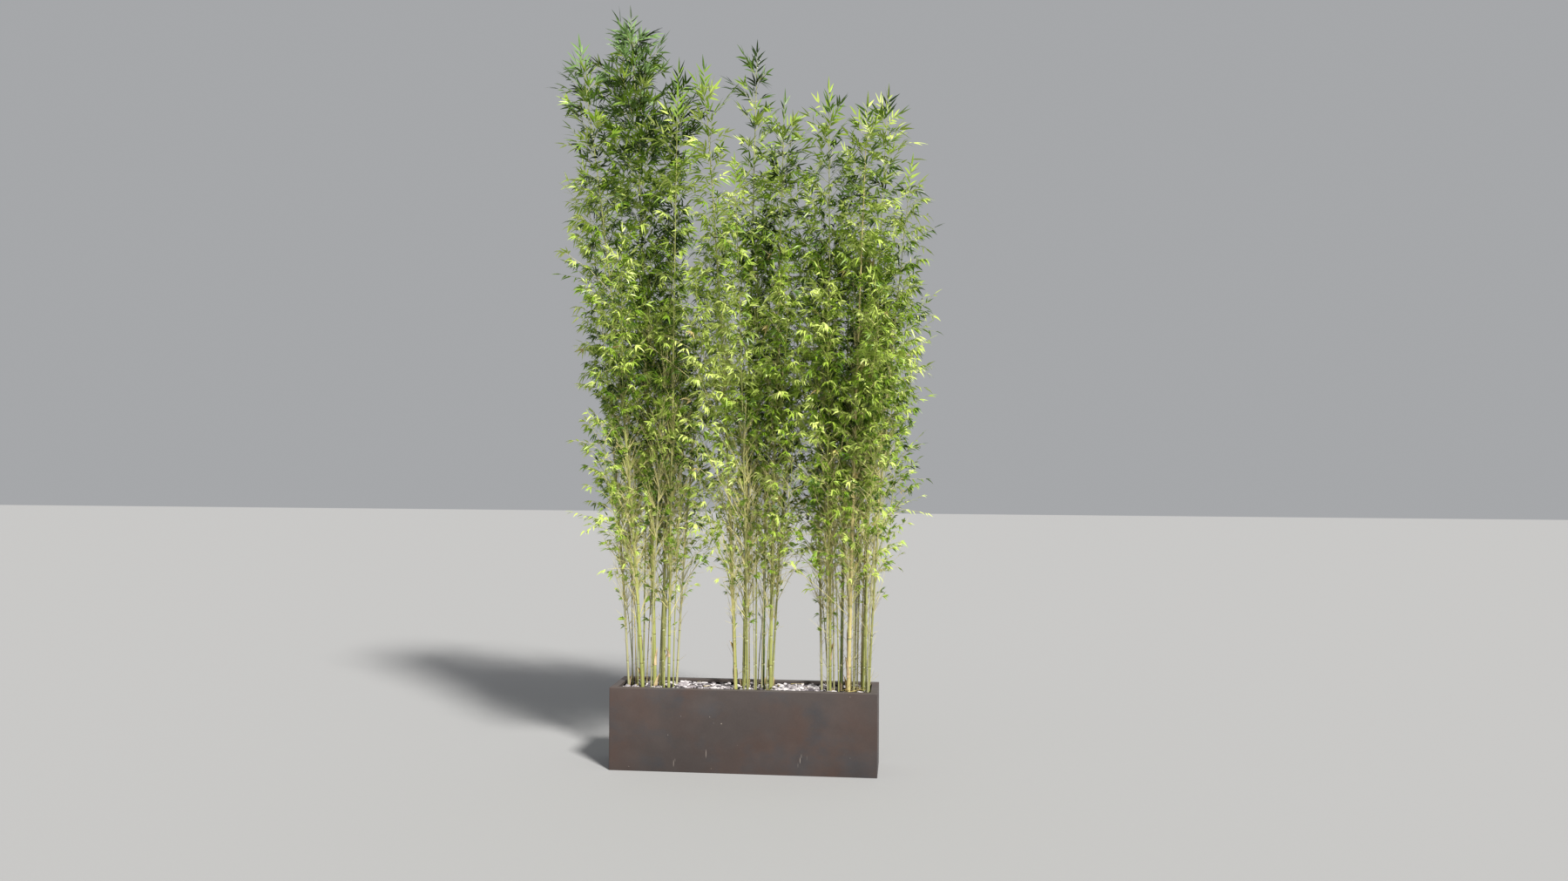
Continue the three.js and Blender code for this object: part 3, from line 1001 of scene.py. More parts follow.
class BAMBOO_OT_soil(bpy.types.Operator):
    """Make the potting soil under the chips"""

    bl_idname = "bamboo.soil"
    bl_label = "Soil"

    def execute(self, context):
        rows, columns = 14, 60
        wide = columns + 1
        points = bed_points(rows, columns, soil_height)
        faces = grid_faces(rows, columns)
        edge = list(range(wide))
        edge += [row * wide + columns for row in range(1, rows + 1)]
        edge += [rows * wide + column for column in range(columns - 1, -1, -1)]
        edge += [row * wide for row in range(rows - 1, 0, -1)]
        start = len(points)
        points += [(points[i][0], points[i][1], INSIDE * MM) for i in edge]
        for i in range(len(edge)):
            j = (i + 1) % len(edge)
            faces.append((edge[j], edge[i], start + i, start + j))
        faces.append(tuple(reversed(range(start, start + len(edge)))))
        soil = Finish("potting_soil", context.scene.bamboo_slate.soil, 0.95, 0.2)
        soil.tones("soil crumbs", 0.55, 1.7)
        soil.relief("soil")
        mesh = mesh_of("soil_block", points, faces, [soil.material])
        new_piece("potting_soil", mesh, ["soil"])
        return {"FINISHED"}


def slate(name, colour):
    finish = Finish(name, colour, 0.72, 0.35)
    finish.tones("slate layers", 0.72, 1.14)
    finish.gloss("slate gloss", 0.55, 0.85)
    finish.relief("slate")
    return finish.material


def chip(draw, length):
    """One flat, split stone: three uneven outlines over each other, lying on its flat side."""
    corners = 6 + int(draw() * 3)
    width = length * (0.5 + 0.4 * draw())
    thick = 3.5 + 5 * draw()
    outline, points = [], []
    for i in range(corners):
        angle = (i + 0.6 * draw()) / corners * FULL_TURN
        uneven = 0.86 + 0.14 * draw()
        outline.append((math.cos(angle) * length / 2 * uneven, math.sin(angle) * width / 2 * uneven))
    for level, scale in ((-0.5, 0.9), (0.05, 1.0), (0.5, 0.76)):
        slant = (draw() - 0.5) * 0.12
        points += [Vector((x * scale, y * scale, thick * level + x * slant)) for x, y in outline]
    faces = [tuple(reversed(range(corners))), *ring_faces(2, corners)]
    faces.append(tuple(range(2 * corners, 3 * corners)))
    return points, faces, thick


class BAMBOO_OT_slate_chips(bpy.types.Operator):
    """Heap the bed of slate chips round the canes"""

    bl_idname = "bamboo.slate_chips"
    bl_label = "Slate chips"

    def execute(self, context):
        settings = context.scene.bamboo_slate
        draw = seeded(SEEDS["chips"])
        half_long, half_deep = half_trough(TROUGH["lip"] - 4)
        feet = [cane.foot for cane in STAND.culms + SHOOTS]
        points, faces, looks = [], [], []
        for number in range(settings.chips):
            length = mix(settings.shortest, settings.longest, draw() ** 1.6) / MM
            x = either_way(draw) * (half_long - length * 0.42)
            y = either_way(draw) * (half_deep - length * 0.42)
            if min(math.hypot(x - foot.x, y - foot.y) for foot in feet) - length * 0.4 < BED["clear"]:
                continue
            heap = BED["heap"] * noise.noise(Vector((x / 120, y / 90, 2.5)))
            slab, sides, thick = chip(draw, length)
            lean = math.radians(BED["lean"]) * draw() ** 1.3
            tilt = Matrix.Rotation(draw() * FULL_TURN, 3, "Z") @ Matrix.Rotation(lean, 3, "X")
            spin = tilt @ Matrix.Rotation(draw() * FULL_TURN, 3, "Z")
            z = BED["lowest"] + BED["layers"] * (number / settings.chips) + heap + thick / 2
            z = min(z, BED["top"] - length / 2 * math.sin(lean) - thick / 2)
            start = len(points)
            points += [tuple((spin @ point + Vector((x, y, z))) * MM) for point in slab]
            faces += [tuple(start + corner for corner in side) for side in sides]
            shade = draw()
            looks += [sum(shade >= limit for limit in SLATE_LIMITS)] * len(sides)
        materials = [slate(f"slate_{key}", getattr(settings, key)) for key in SLATES]
        mesh = mesh_of("slate_chips", points, faces, materials, looks)
        new_piece("slate_chips", mesh, ["slate_mulch"])
        self.bed(settings)
        return {"FINISHED"}

    def bed(self, settings):
        """A bed under the chips, painted near black as the shade that shows in the gaps between them."""
        rows, columns = 22, 90
        # Painted shade: the bed's colour is a near black tone of the dark slate, which stands for the shade
        # in the gaps between the chips.
        grit = Finish("slate_grit", shaded(settings.dark, 0.45), 0.95, 0.2)
        grit.colour = shaded(settings.dark, 0.12)
        grit.layer("grit crumbs", shaded(settings.dark, 0.6))
        grit.relief("grit")
        points, faces = bed_points(rows, columns, shade_bed_height), grid_faces(rows, columns)
        new_piece("slate_grit", mesh_of("slate_grit", points, faces, [grit.material]), [])


# The canes.


def cane_skin(name, colour):
    finish = Finish(name, colour, 0.42, 0.45)
    finish.tones("cane streaks", 0.8, 1.16)
    finish.layer("cane clouds", shaded(colour, 0.66), 0.45)
    finish.layer("cane blotches", BLOTCH, 0.4)
    finish.gloss("cane gloss", 0.34, 0.56)
    finish.relief("cane")
    return finish.material


def node_finishes(settings):
    """The waxy bloom below a node and the scar at it."""
    bloom = Finish("node_bloom", settings.bloom, 0.7, 0.3)
    bloom.colour = tuple(settings.green)
    bloom.layer("node bloom", settings.bloom)
    scar = Finish("node_scar", settings.scar, 0.8, 0.25)
    scar.tones("node bark", 0.6, 1.5)
    return [bloom.material, scar.material]


def node_shares(height, settings, draw):
    """How high each node stands, as shares of a cane's height: closest at the foot and near the tip."""
    least, most = settings.shortest_joint / MM, settings.longest_joint / MM
    place, shares = least * 0.4, []
    while place < height - least * 0.6:
        share = place / height
        shares.append(share)
        swell = math.sin(math.pi * min(1, 0.12 + share * 0.95)) ** 0.8
        place += mix(least, most, swell) * (0.92 + 0.16 * draw())
    return shares


def rings_of(height, shares, skin):
    """The rings of a cane: each its share of the height, its swelling and the look above it."""
    rings = [(place / height, swell, skin) for place, swell in FOOT_RINGS]
    for share, above in zip(shares, shares[1:] + [1]):
        gap = (above - share) * height
        for place, swell, look in NODE_RINGS:
            spot = share + place / height
            if spot > rings[-1][0] + 0.4 / height and place < gap * 0.4:
                rings.append((spot, swell, CANE_LOOKS.index(look) if look else skin))
        rings.append((share + gap * 0.5 / height, 0.985, skin))
    return [ring for ring in rings if ring[0] < 1]


class Canes:
    """The joined mesh of some canes, with a look for each face."""

    def __init__(self):
        self.points = []
        self.faces = []
        self.looks = []

    def add(self, cane, shares):
        """One cane as rings along its axis, closed to a point at its tip."""
        skin = SKINS.index(cane.skin)
        sides = 12 if cane.girth > 14 else 9 if cane.girth > 10 else 6
        rings = rings_of(cane.height, shares, skin)
        start = len(self.points)
        for share, swell, _ in rings:
            centre, size = cane.axis(share), cane.radius(share) * swell
            for i in range(sides):
                angle = i / sides * FULL_TURN
                offset = Vector((math.cos(angle) * size, math.sin(angle) * size, 0))
                self.points.append(tuple((centre + offset) * MM))
        tip = len(self.points)
        last = tip - sides
        self.points.append(tuple(cane.axis(1) * MM))
        self.faces += ring_faces(len(rings) - 1, sides, start)
        self.faces += [(last + i, last + (i + 1) % sides, tip) for i in range(sides)]
        for look in [ring[2] for ring in rings[:-1]] + [skin]:
            self.looks += [look] * sides


class BAMBOO_OT_culms(bpy.types.Operator):
    """Make the canes with their nodes"""

    bl_idname = "bamboo.culms"
    bl_label = "Canes"

    def execute(self, context):
        settings = context.scene.bamboo_culms
        materials = [cane_skin(f"cane_{key}", getattr(settings, key)) for key in SKINS]
        materials += node_finishes(settings)
        draw = seeded(SEEDS["joints"])
        for clump in CLUMPS:
            canes = Canes()
            for cane in of_clump(clump, STAND.culms + SHOOTS):
                canes.add(cane, node_shares(cane.height, settings, draw))
            name = f"canes_{clump}"
            mesh = mesh_of(name, canes.points, canes.faces, materials, canes.looks, smooth=True)
            new_piece(name, mesh, nodes_of("culm", clump))
        return {"FINISHED"}


class BAMBOO_OT_sheaths(bpy.types.Operator):
    """Wrap dry papery sheaths round some of the lowest joints"""

    bl_idname = "bamboo.sheaths"
    bl_label = "Sheaths"

    def execute(self, context):
        paper = Finish("dry_sheath", context.scene.bamboo_culms.sheath, 0.75, 0.25)
        paper.tones("sheath veins", 0.66, 1.12)
        paper.layer("sheath stains", STAIN, 0.6)
        paper.relief("sheath")
        draw = seeded(SEEDS["sheaths"])
        points, faces = [], []
        for culm in STAND.culms:
            loose = culm.skin == "straw"
            lowest = place = 6
            for _ in range(1 if culm.girth < 15 else 3):
                if loose or draw() < 0.5:
                    tall = 120 if loose and place == lowest else mix(45, 105, draw())
                    self.wrap(points, faces, culm, place, tall, draw)
                place += mix(75, 145, draw())
        mesh = mesh_of("dry_sheaths", points, faces, [paper.material], smooth=True)
        new_piece("dry_sheaths", mesh, [])
        return {"FINISHED"}

    def wrap(self, points, faces, culm, place, tall, draw):
        """A sheath from one height on a cane: it clasps the cane below and peels off to a point above."""
        columns, rows = 6, 6
        turn = draw() * FULL_TURN
        wrapped = math.radians(mix(150, 240, draw()))
        peel = mix(5, 17, draw())
        faces += grid_faces(rows, columns, len(points))
        for row in range(rows + 1):
            up = row / rows
            share = (place + tall * up) / culm.height
            centre = culm.axis(share)
            width = wrapped * (1 - up ** 1.6) + 0.02
            gap = culm.radius(share) * 1.12 + 0.6 + peel * up ** 2.4
            for column in range(columns + 1):
                angle = turn + (column / columns - 0.5) * width
                ripple = 1 + 0.05 * math.sin(column * 2.1 + row)
                points.append(tuple((centre + outwards(angle) * gap * ripple) * MM))


# Twigs and leaves.

# The box of the solids, which nothing may pass: its corners in millimetres, drawn in a little.
REACH = [
    [value / MM + 6 * (1 if value < 0 else -1) for value in solid_box[0]],
    [value / MM - 6 for value in solid_box[1]],
]


def inside_reach(place):
    return all(REACH[0][i] < place[i] < REACH[1][i] for i in range(2)) and place.z < REACH[1][2]


def above(zone, height):
    """How much of a zone's change has come at a height, from 0 to 1."""
    return ramp(height, *ZONES[zone])


def bareness(height):
    """The share of the twigs that carry no leaves, most near the mulch and none in the crown."""
    return 0.92 * (1 - above("full leaf", height))


def lifted(height):
    """How far the twigs and leaves point upwards, which they do in the spires."""
    return above("spires", height)


def slack(way):
    """How freely a limb or leaf hangs, which an upright one doesn't."""
    return min(1, 1.6 * (1.02 - max(0, way.z)))


def leaf_scale(height):
    """The size of the leaves, small on the low twigs and full in the spires."""
    return 0.5 + 0.19 * above("larger leaves", height) + 0.41 * above("largest leaves", height)


def twig_look(height, draw):
    """The look of a twig, which is mostly straw coloured low down and green above."""
    return STRAW if draw() < min(0.85, max(0.15, (2300 - height) / 1500)) else GREEN


def side_of(number):
    """Leaves and sprays stand to one side and the other by turns."""
    return 1 if number % 2 else -1


class Foliage:
    """The twigs and leaves of one clump, gathered before their meshes are made."""

    def __init__(self, settings, seed):
        self.draw = seeded(seed)
        self.fill = settings.fill
        self.full = settings.leaf_length / MM
        self.wide = settings.leaf_width / MM
        self.points = []
        self.faces = []
        self.looks = []
        self.leaves = []

    def between(self, low, high):
        return mix(low, high, self.draw())

    def limb(self, stops, radii, look, sides=3):
        """A thin limb through some points, tapering from one radius to another."""
        start, bands = len(self.points), len(stops) - 1
        first, last = radii
        for i, stop in enumerate(stops):
            along = (stops[min(i + 1, bands)] - stops[max(i - 1, 0)]).normalized()
            side = squared(ACROSS if abs(along.x) < 0.8 else UP, along)
            other = side.cross(along)
            size = first + (last - first) * i / bands
            for corner in range(sides):
                angle = corner / sides * FULL_TURN
                self.points.append(stop + (side * math.cos(angle) + other * math.sin(angle)) * size)
        self.faces += [(b, a, d, c) for a, b, c, d in ring_faces(bands, sides, start)]
        self.looks += [look] * (bands * sides)

    def leaf(self, base, way, face, length, look):
        width = self.wide * (0.4 + 0.6 * length / self.full) * self.between(0.85, 1.15)
        curl = self.between(0.08, 0.42) * slack(way) * (1 - 0.4 * lifted(base.z))
        tip = base + way * length - UP * curl * length
        if inside_reach(tip) and inside_reach(base):
            self.leaves.append((base, way, face, length, width, curl, look))

    def spray(self, base, way, face, reach, count, look):
        """A fine twig with leaves to each side and one straight on, no farther than its reach."""
        scale, lift = leaf_scale(base.z), lifted(base.z)
        end_leaf = min(self.full * scale * self.between(0.75, 1.05), reach * 0.7)
        hang = slack(way) * (1 - 0.75 * lift)
        twig = reach - end_leaf
        end = base + way * twig - UP * 0.06 * twig * hang
        if not inside_reach(end):
            return
        self.limb([base, end], LIMBS["spray"], twig_look(base.z, self.draw))
        along = (end - base).normalized() if twig > 1 else way
        ahead = (along - UP * self.between(0, 0.4) * hang).normalized()
        self.leaf(end, ahead, squared(face, along), end_leaf, look)
        ease = 0.6 + 0.4 * above("wide sprays", base.z) - 0.15 * lift
        for i in range(count):
            share = 1 - (i + 0.3) / (count + 0.5) * 0.9
            out = turned(along, face, side_of(i) * self.between(0.4, 0.95) * ease)
            out = (out - UP * self.between(0.05, 0.8) * hang * ease).normalized()
            roll = squared(turned(face, out, self.between(-0.7, 0.7)), out)
            size = self.full * scale * self.between(0.5, 1.0)
            self.leaf(base.lerp(end, share), out, roll, size, look)

    def branch(self, root, way, length, thick, light, fullness=1.0):
        """A leafy branch that rises and bends over, with sprays to each side and one at its end."""
        out = Vector((way.x, way.y, 0))
        middle = root + way * length * 0.5
        end = middle + (way + out * 0.25 - UP * 0.1).normalized() * length * 0.5
        if not inside_reach(end):
            return
        scale, bare, lift = leaf_scale(root.z), bareness(root.z), lifted(root.z)
        self.limb([root, middle, end], (thick, BRANCH_END), twig_look(root.z, self.draw))
        count = max(1, round(length / (10 + 20 * scale) * fullness))
        for i in range(count + 1):
            at_end = i == count
            share = 1 if at_end else 0.2 + 0.3 * bare + (0.8 - 0.3 * bare) * (i + 0.5) / count
            start = root.lerp(middle, share * 2) if share < 0.5 else middle.lerp(end, share * 2 - 1)
            along = (end - middle if share > 0.5 else middle - root).normalized()
            face = squared(turned(upwards(along), along, self.between(-0.9, 0.9)), along)
            angle = 0.2 * self.between(-1, 1) if at_end else side_of(i) * self.between(0.5, 1.1)
            droop = self.between(0, 0.3) * (1 - lift) - 0.3 * lift
            aim = (turned(along, face, angle) - UP * droop).normalized()
            reach = self.between(75, 135) * scale
            if self.draw() < ((950 - start.z) / 200 if at_end else bare):
                if self.draw() < 0.5:
                    self.limb([start, start + aim * reach * 0.7], LIMBS["bare"], STRAW)
                continue
            look = self.colour(start, light + 0.3 * share)
            leaves = 3 + int(self.draw() * (3 if scale > 0.75 else 4))
            self.spray(start, aim, squared(face, aim), reach, leaves, look)

    def colour(self, place, light):
        """The colour of a spray: lighter outside, darker high up, and never dark low down; the lighter
        outside and the lit low leaves are painted light.
        """
        if self.draw() < DRY_SPRAYS["share"] and place.z < DRY_SPRAYS["below"]:
            return LEAF_COLOURS.index("dry")
        spire = BLUE_SPIRE
        if place.x < spire["left_of"] and place.z > spire["from"] + spire["over"] * self.draw():
            return LEAF_COLOURS.index("blue")
        # Painted light: sprays towards the outside of the crown get lighter colours.
        outside = min(1, math.hypot(place.x / 1000, place.y / 430) ** 1.3)
        against_sky = above("open sky", place.z) * (1 - 0.5 * ramp(place.x, 50, 350))
        against_sky += 0.6 * above("thin crown", place.z)
        value = light + 0.22 * outside - 0.15 * against_sky
        value += 0.48 * (self.draw() - 0.5) + 0.36 * noise.noise(place / 230)
        # Painted light: the low sprays are never given dark colours.
        value = max(value, 0.34 - 0.4 * above("lit low leaves", place.z))
        return LEAF_COLOURS.index(next((name for least, name in COLOUR_STEPS if value > least), "shade"))

    def meshes(self, clump, leaf_materials, twig_materials):
        nodes = nodes_of("foliage", clump)
        points = [tuple(point * MM) for point in self.points]
        twigs = mesh_of(f"twigs_{clump}", points, self.faces, twig_materials, self.looks, smooth=True)
        new_piece(f"twigs_{clump}", twigs, nodes)
        share = math.ceil(len(self.leaves) / LEAF_PIECES)
        for i in range(LEAF_PIECES):
            places, faces, looks = leaf_arrays(self.leaves[i * share : (i + 1) * share])
            name = f"leaves_{clump}_{i + 1}"
            new_piece(name, mesh_of(name, places, faces, leaf_materials, looks, smooth=True), nodes)


def leaf_arrays(leaves):
    """Every leaf's points and faces at once. A leaf bends down towards its tip."""
    base, way, face = (np.array([leaf[i] for leaf in leaves])[:, None] for i in range(3))
    length, width, curl = (np.array([leaf[i] for leaf in leaves])[:, None, None] for i in (3, 4, 5))
    across = np.cross(face, way)
    outline = np.array(LEAF_OUTLINE)[None]
    along, out, fold = (outline[:, :, i : i + 1] for i in range(3))
    down = np.array([0.0, 0.0, -1.0])
    points = base + way * along * length + across * out * width + face * fold * width
    points = points + down * curl * along ** 2 * length - way * DRAWN_BACK * curl * along ** 2 * length
    places = (points * MM).reshape(-1, 3).tolist()
    size = len(LEAF_OUTLINE)
    faces = [tuple(i * size + corner for corner in face) for i in range(len(leaves)) for face in LEAF_FACES]
    looks = np.repeat([leaf[6] for leaf in leaves], len(LEAF_FACES))
    return places, faces, looks


def plain_finish(name, colour, least, most):
    """One plain colour with uneven gloss, between a least and a most roughness."""
    finish = Finish(name, colour, (least + most) / 2)
    finish.gloss("leaf gloss", least, most)
    return finish.material


def natural_spray(foliage, leaf):
    """One of the solids' large leaves as the spray that it stands for."""
    base, way, face, length, _ = leaf
    look = foliage.colour(base, 0.4)
    foliage.spray(base, way, face, length, 4 + int(foliage.draw() * 3), look)


def dress_mass(foliage, mass):
    """The solids' own twigs and leaves of one mass, made fine, and the finer twigs between them."""
    if mass.level != "top":
        foliage.limb([mass.axis(i / 8) for i in range(9)], LIMBS["side stem"], GREEN, sides=4)
    for leaf in mass.crest:
        natural_spray(foliage, leaf)
    for root, tip, leaves in mass.sprays:
        foliage.limb([root, root.lerp(tip, 0.5), tip], LIMBS["twig"], GREEN)
        for leaf in leaves:
            natural_spray(foliage, leaf)
    tone, spread, taper = CHARACTER.get(mass.culm.name, PLAIN_CHARACTER)
    stations = int(mass.length() / MASS_BRANCH["spacing"] * foliage.fill * spread)
    turn = foliage.draw() * FULL_TURN
    narrow = NARROWING[mass.level][mass.culm.tall]
    for i in range(stations):
        share = ((i + 0.5) / stations) ** 1.2
        turn += GOLDEN_ANGLE
        root = mass.axis(share)
        along = tangent(mass.axis, share)
        way = (squared(outwards(turn), along) + along * foliage.between(0.5, 1.4)).normalized()
        room = (1 - narrow * share ** taper) * spread * (1 + 0.2 * lifted(root.z))
        below_top = max(20, (mass.culm.top - root.z - 60) / max(0.3, way.z))
        length = min(foliage.between(70, 190) * room, below_top)
        foliage.branch(root, way, length, MASS_BRANCH["radius"], MASS_BRANCH["light"] + tone)


def dress_culm(foliage, cane, first, last, spread, tone=0):
    """The pairs of branches at a cane's nodes, from a first share of its height to a last one."""
    draw = foliage.draw
    count = int((last - first) * cane.height / NODE_BRANCH["spacing"] * foliage.fill)
    turn = draw() * FULL_TURN
    for i in range(count):
        root = cane.axis(first + (last - first) * (i + draw() * 0.6) / count)
        bare = bareness(root.z)
        turn += math.pi + (draw() - 0.5) * 0.9
        for branch in range(2):
            way = slanted(turn + branch * 0.8, math.radians(foliage.between(44, 72) + 6 * bare))
            low_down = max(0.3, above("first branches", root.z))
            length = spread * foliage.between(0.5, 1.25) * (1 + 0.45 * bare) * low_down
            thick, light = NODE_BRANCH["radius"] + 0.4 * bare, NODE_BRANCH["light"] + tone
            foliage.branch(root, way, length, thick, light, NODE_BRANCH["fullness"])
            if STRAW_TWIGS["from"] < root.z < STRAW_TWIGS["to"]:
                straw_twigs(foliage, root, way)


def straw_twigs(foliage, root, way):
    """A few fine, nearly upright twigs that stand bare among the leaves of the lower crown."""
    for _ in range(STRAW_TWIGS["pairs"]):
        aim = (way + UP * foliage.between(0.2, 1.6) + ACROSS * foliage.between(-0.5, 0.5)).normalized()
        middle = root + aim * foliage.between(70, 150)
        end = middle + (aim + UP * foliage.between(-0.3, 0.3)).normalized() * foliage.between(60, 130)
        if inside_reach(end):
            foliage.limb([root, middle, end], LIMBS["straw"], STRAW)


def long_branches(foliage, culm):
    """A few long, almost bare branches that cross the open space between the clumps."""
    turn = foliage.draw() * FULL_TURN
    for _ in range(LONG_COUNTS[culm.tall]):
        root = culm.axis(foliage.between(0.14, 0.5))
        turn += GOLDEN_ANGLE
        way = slanted(turn, math.radians(foliage.between(34, 62)), LONG_BRANCH["depth"])
        way.normalize()
        length = foliage.between(240, 500)
        bow = UP * length * foliage.between(-0.04, 0.06)
        end = root + way * length
        stops = [root, root + way * length * 0.35 + bow, root + way * length * 0.7 + bow, end]
        if not inside_reach(end) or abs(end.x) > LONG_BRANCH["within"]:
            continue
        foliage.limb(stops, LIMBS["long"], STRAW)
        for i in range(LONG_BRANCH["leaves"]):
            share = 0.3 + 0.7 * i / (LONG_BRANCH["leaves"] - 1)
            start = root.lerp(end, share) + bow * (1 - abs(2 * share - 1))
            face = squared(turned(UP, way, foliage.between(-1, 1)), way)
            aim = turned(way, face, side_of(i) * foliage.between(0.4, 1.0))
            if share > 0.6 or foliage.draw() < 0.4:
                look = foliage.colour(start, 0.34 + 0.2 * share)
                reach = foliage.between(60, 110)
                foliage.spray(start, aim, squared(face, aim), reach, 2 + int(foliage.draw() * 3), look)
            else:
                foliage.limb([start, start + aim * foliage.between(40, 90)], LIMBS["offshoot"], STRAW)


def leader(foliage, culm):
    """The thin shoot at a cane's very tip, up to the height of the solids' highest leaf."""
    base, along = culm.axis(1), tangent(culm.axis, 1)
    top = min(culm.top, REACH[1][2]) - 2
    end_leaf = foliage.full * foliage.between(0.85, 1.05)
    tip = base + along * ((top - base.z) / along.z - end_leaf)
    foliage.limb([base, tip], LIMBS["leader"], GREEN)
    face = outwards(foliage.draw() * FULL_TURN)
    look = foliage.colour(base, 0.16 if base.x > -200 else 0.02)
    foliage.leaf(tip, along, squared(face, along), end_leaf, look)
    for i in range(LEADER_LEAVES):
        start = base.lerp(tip, 0.1 + 0.15 * i)
        out = turned(along, face, side_of(i) * foliage.between(0.45, 0.95))
        foliage.leaf(start, out, squared(face, out), foliage.full * foliage.between(0.75, 1.05), look)


def spurs(foliage, cane):
    """Short dead twigs at the nodes of a cane's bare foot, most of them in the right clump."""
    apart, most = (0.25, 75) if cane.clump == "right" else (1, 45)
    place = foliage.between(60, 140)
    while place < min(750, cane.height * 0.6):
        share = place / cane.height
        way = slanted(foliage.draw() * FULL_TURN, math.radians(foliage.between(35, 70)))
        root = cane.axis(share) + way * cane.radius(share) * 0.6
        end = root + way * (foliage.between(10, most) + 60 * foliage.draw() ** 3)
        if inside_reach(end):
            foliage.limb([root, end], LIMBS["spur"], DEAD if foliage.draw() < 0.6 else STRAW)
        place += foliage.between(60, 190) * apart


class BAMBOO_OT_foliage(bpy.types.Operator):
    """Grow the twigs and leaves of the three clumps"""

    bl_idname = "bamboo.foliage"
    bl_label = "Twigs and leaves"

    def execute(self, context):
        settings = context.scene.bamboo_foliage
        leaf_looks = [
            plain_finish(f"leaf_{key}", getattr(settings, key), 0.32, 0.5) for key in LEAF_COLOURS
        ]
        twig_looks = [plain_finish(key, getattr(settings, key), 0.48, 0.66) for key in TWIG_COLOURS]
        for number, clump in enumerate(CLUMPS):
            foliage = Foliage(settings, SEEDS["finer growth"] + number)
            culms, shoots = of_clump(clump, STAND.culms), of_clump(clump, SHOOTS)
            for mass in of_clump(clump, STAND.masses):
                dress_mass(foliage, mass)
            for culm in culms:
                tone = CHARACTER.get(culm.name, PLAIN_CHARACTER)[0]
                dress_culm(foliage, culm, 0.1, culm.end, BRANCH_SPREAD[culm.tall], tone)
                long_branches(foliage, culm)
                leader(foliage, culm)
            for shoot in shoots:
                if shoot.leafy:
                    dress_culm(foliage, shoot, 0.42, 0.98, SHOOT_SPREAD)
            for cane in culms + shoots:
                spurs(foliage, cane)
            foliage.meshes(clump, leaf_looks, twig_looks)
        return {"FINISHED"}


class BAMBOO_OT_fallen_leaves(bpy.types.Operator):
    """Scatter a few dry leaves on the chips"""

    bl_idname = "bamboo.fallen_leaves"
    bl_label = "Fallen leaves"

    def execute(self, context):
        settings = context.scene.bamboo_foliage
        draw = seeded(SEEDS["fallen leaves"])
        half_long, half_deep = half_trough(FALLEN["end_clear"])[0], half_trough(FALLEN["side_clear"])[1]
        leaves = []
        for i in range(FALLEN["count"]):
            anywhere = i < FALLEN["anywhere"]
            x = either_way(draw) * half_long if anywhere else mix(FALLEN["from_x"], FALLEN["to_x"], draw())
            y = either_way(draw) * half_deep
            bearing = draw() * FULL_TURN
            way = Vector((math.cos(bearing), math.sin(bearing), 0.06 * (draw() - 0.3))).normalized()
            face = squared(Vector((draw() - 0.5, draw() - 0.5, 2)), way)
            length = settings.leaf_length / MM * (0.45 + 0.35 * draw())
            width = settings.leaf_width / MM * (0.6 + 0.3 * draw())
            base = Vector((x, y, mix(393, 398, draw())))
            leaves.append((base, way, face, length, width, 0.03, int(draw() * 2)))
        looks = []
        for name, colour in (("fallen_tan", settings.dry), ("fallen_brown", shaded(settings.dry, 0.5))):
            dry = Finish(name, colour, 0.8, 0.2)
            dry.tones("dry mottle", 0.7, 1.1)
            looks.append(dry.material)
        points, faces, indices = leaf_arrays(leaves)
        mesh = mesh_of("fallen_leaves", points, faces, looks, indices, smooth=True)
        new_piece("fallen_leaves", mesh, [])
        return {"FINISHED"}


# The stage and the add-on.


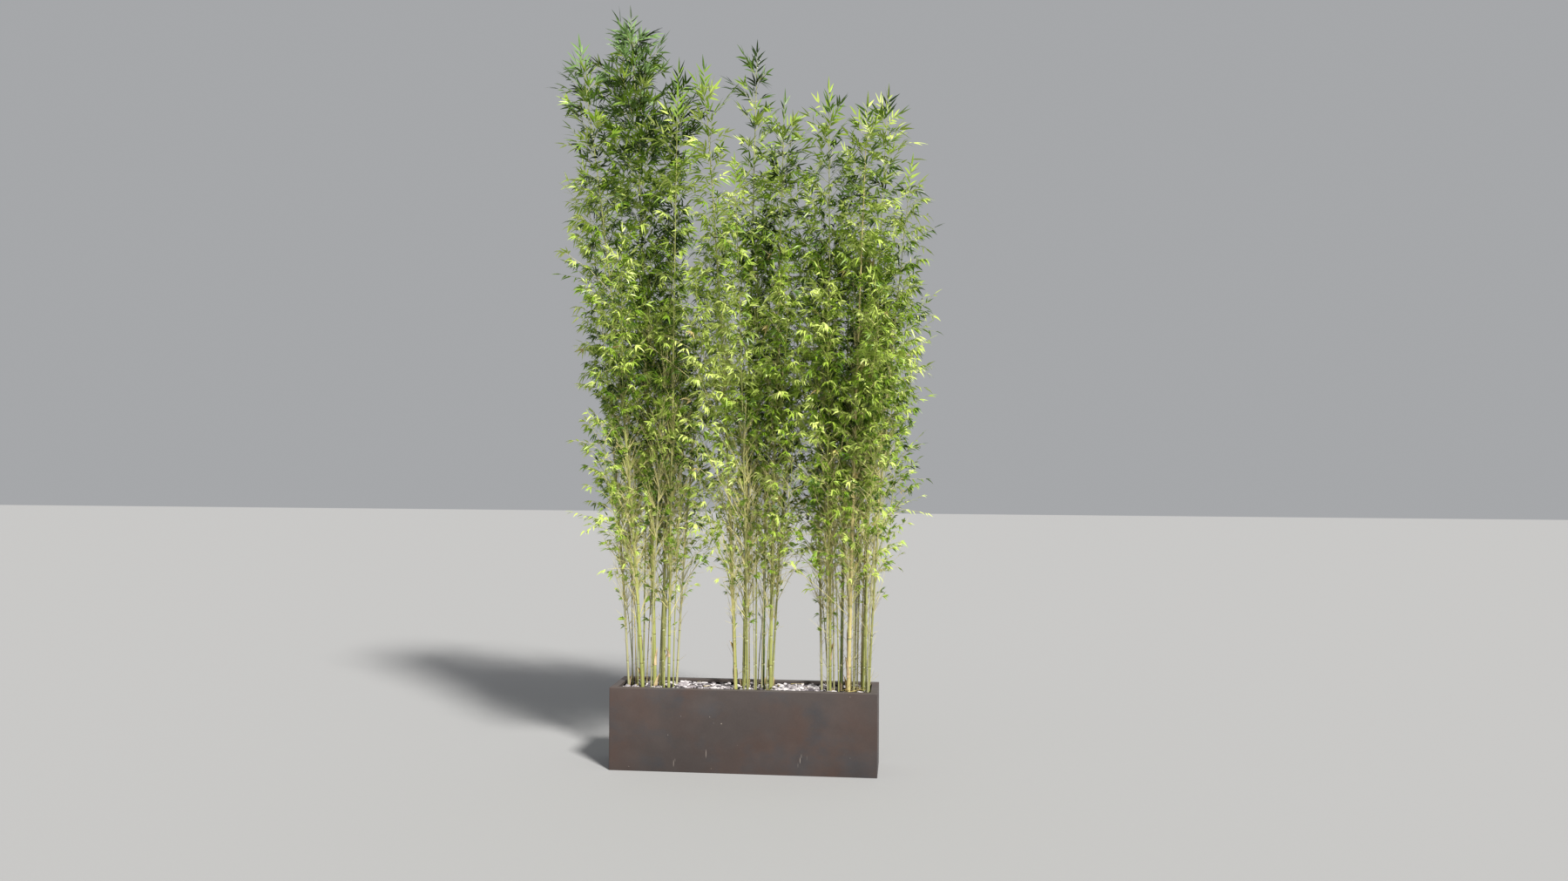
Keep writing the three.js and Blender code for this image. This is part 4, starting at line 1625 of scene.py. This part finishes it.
class BAMBOO_OT_stage(bpy.types.Operator):
    """Set up the floor, the lights and the camera"""

    bl_idname = "bamboo.stage"
    bl_label = "Stage"

    def execute(self, context):
        settings = context.scene.bamboo_stage
        scene = context.scene
        corners = [(x * FLOOR_HALF, y * FLOOR_HALF, 0) for x, y in ((-1, -1), (1, -1), (1, 1), (-1, 1))]
        ground = Finish("pale_floor", settings.floor, 0.9, 0.2)
        floor = bpy.data.objects.new("floor", mesh_of("floor", corners, [(0, 1, 2, 3)], [ground.material]))
        scene.collection.objects.link(floor)
        light = bpy.data.lights.new("key", "SUN")
        light.angle = math.radians(SUN["width"])
        light.energy = SUN["strength"]
        light.color = SUN["colour"]
        lamp = bpy.data.objects.new("key", light)
        lamp.rotation_euler = Vector(SUN["aim"]).to_track_quat("-Z", "Y").to_euler()
        scene.collection.objects.link(lamp)
        world = bpy.data.worlds.new("studio")
        world.use_nodes = True
        world.node_tree.nodes["Background"].inputs["Color"].default_value = SKY["colour"]
        world.node_tree.nodes["Background"].inputs["Strength"].default_value = SKY["strength"]
        scene.world = world
        scene.view_settings.view_transform = "Standard"
        camera = bpy.data.objects.new("camera", bpy.data.cameras.new("camera"))
        camera.data.lens = settings.lens
        camera.data.sensor_width = SENSOR_WIDTH
        turn = Matrix.Rotation(settings.heading, 4, "Z")
        nod = Matrix.Rotation(math.pi / 2 + settings.pitch, 4, "X")
        roll = Matrix.Rotation(settings.roll, 4, "Z")
        camera.matrix_world = Matrix.Translation(settings.place) @ turn @ nod @ roll
        scene.collection.objects.link(camera)
        scene.camera = camera
        return {"FINISHED"}


class BAMBOO_PT_panel(bpy.types.Panel):
    """The pieces of the potted bamboo"""

    bl_idname = "BAMBOO_PT_panel"
    bl_label = "Potted bamboo"
    bl_space_type = "VIEW_3D"
    bl_region_type = "UI"
    bl_category = "Bamboo"

    def draw(self, context):
        for key in SETTINGS:
            settings = getattr(context.scene, key)
            box = self.layout.box()
            for name in settings.bl_rna.properties.keys():
                if name not in ("rna_type", "name"):
                    box.prop(settings, name)
        for operator in OPERATORS:
            self.layout.operator(operator.bl_idname)


SETTINGS = {
    "bamboo_trough": BambooTroughSettings,
    "bamboo_slate": BambooSlateSettings,
    "bamboo_culms": BambooCulmSettings,
    "bamboo_foliage": BambooFoliageSettings,
    "bamboo_stage": BambooStageSettings,
}
OPERATORS = (
    BAMBOO_OT_stage,
    BAMBOO_OT_trough,
    BAMBOO_OT_soil,
    BAMBOO_OT_slate_chips,
    BAMBOO_OT_culms,
    BAMBOO_OT_sheaths,
    BAMBOO_OT_fallen_leaves,
    BAMBOO_OT_foliage,
)
CLASSES = (*SETTINGS.values(), *OPERATORS, BAMBOO_PT_panel)


def register():
    for cls in CLASSES:
        bpy.utils.register_class(cls)
    for key, group in SETTINGS.items():
        setattr(bpy.types.Scene, key, PointerProperty(type=group))


def unregister():
    for key in SETTINGS:
        delattr(bpy.types.Scene, key)
    for cls in reversed(CLASSES):
        bpy.utils.unregister_class(cls)


def main():
    register()
    bpy.ops.bamboo.stage()
    bpy.ops.bamboo.trough()
    bpy.ops.bamboo.soil()
    bpy.ops.bamboo.slate_chips()
    bpy.ops.bamboo.culms()
    bpy.ops.bamboo.sheaths()
    bpy.ops.bamboo.fallen_leaves()
    bpy.ops.bamboo.foliage()


if __name__ == "__main__":
    main()
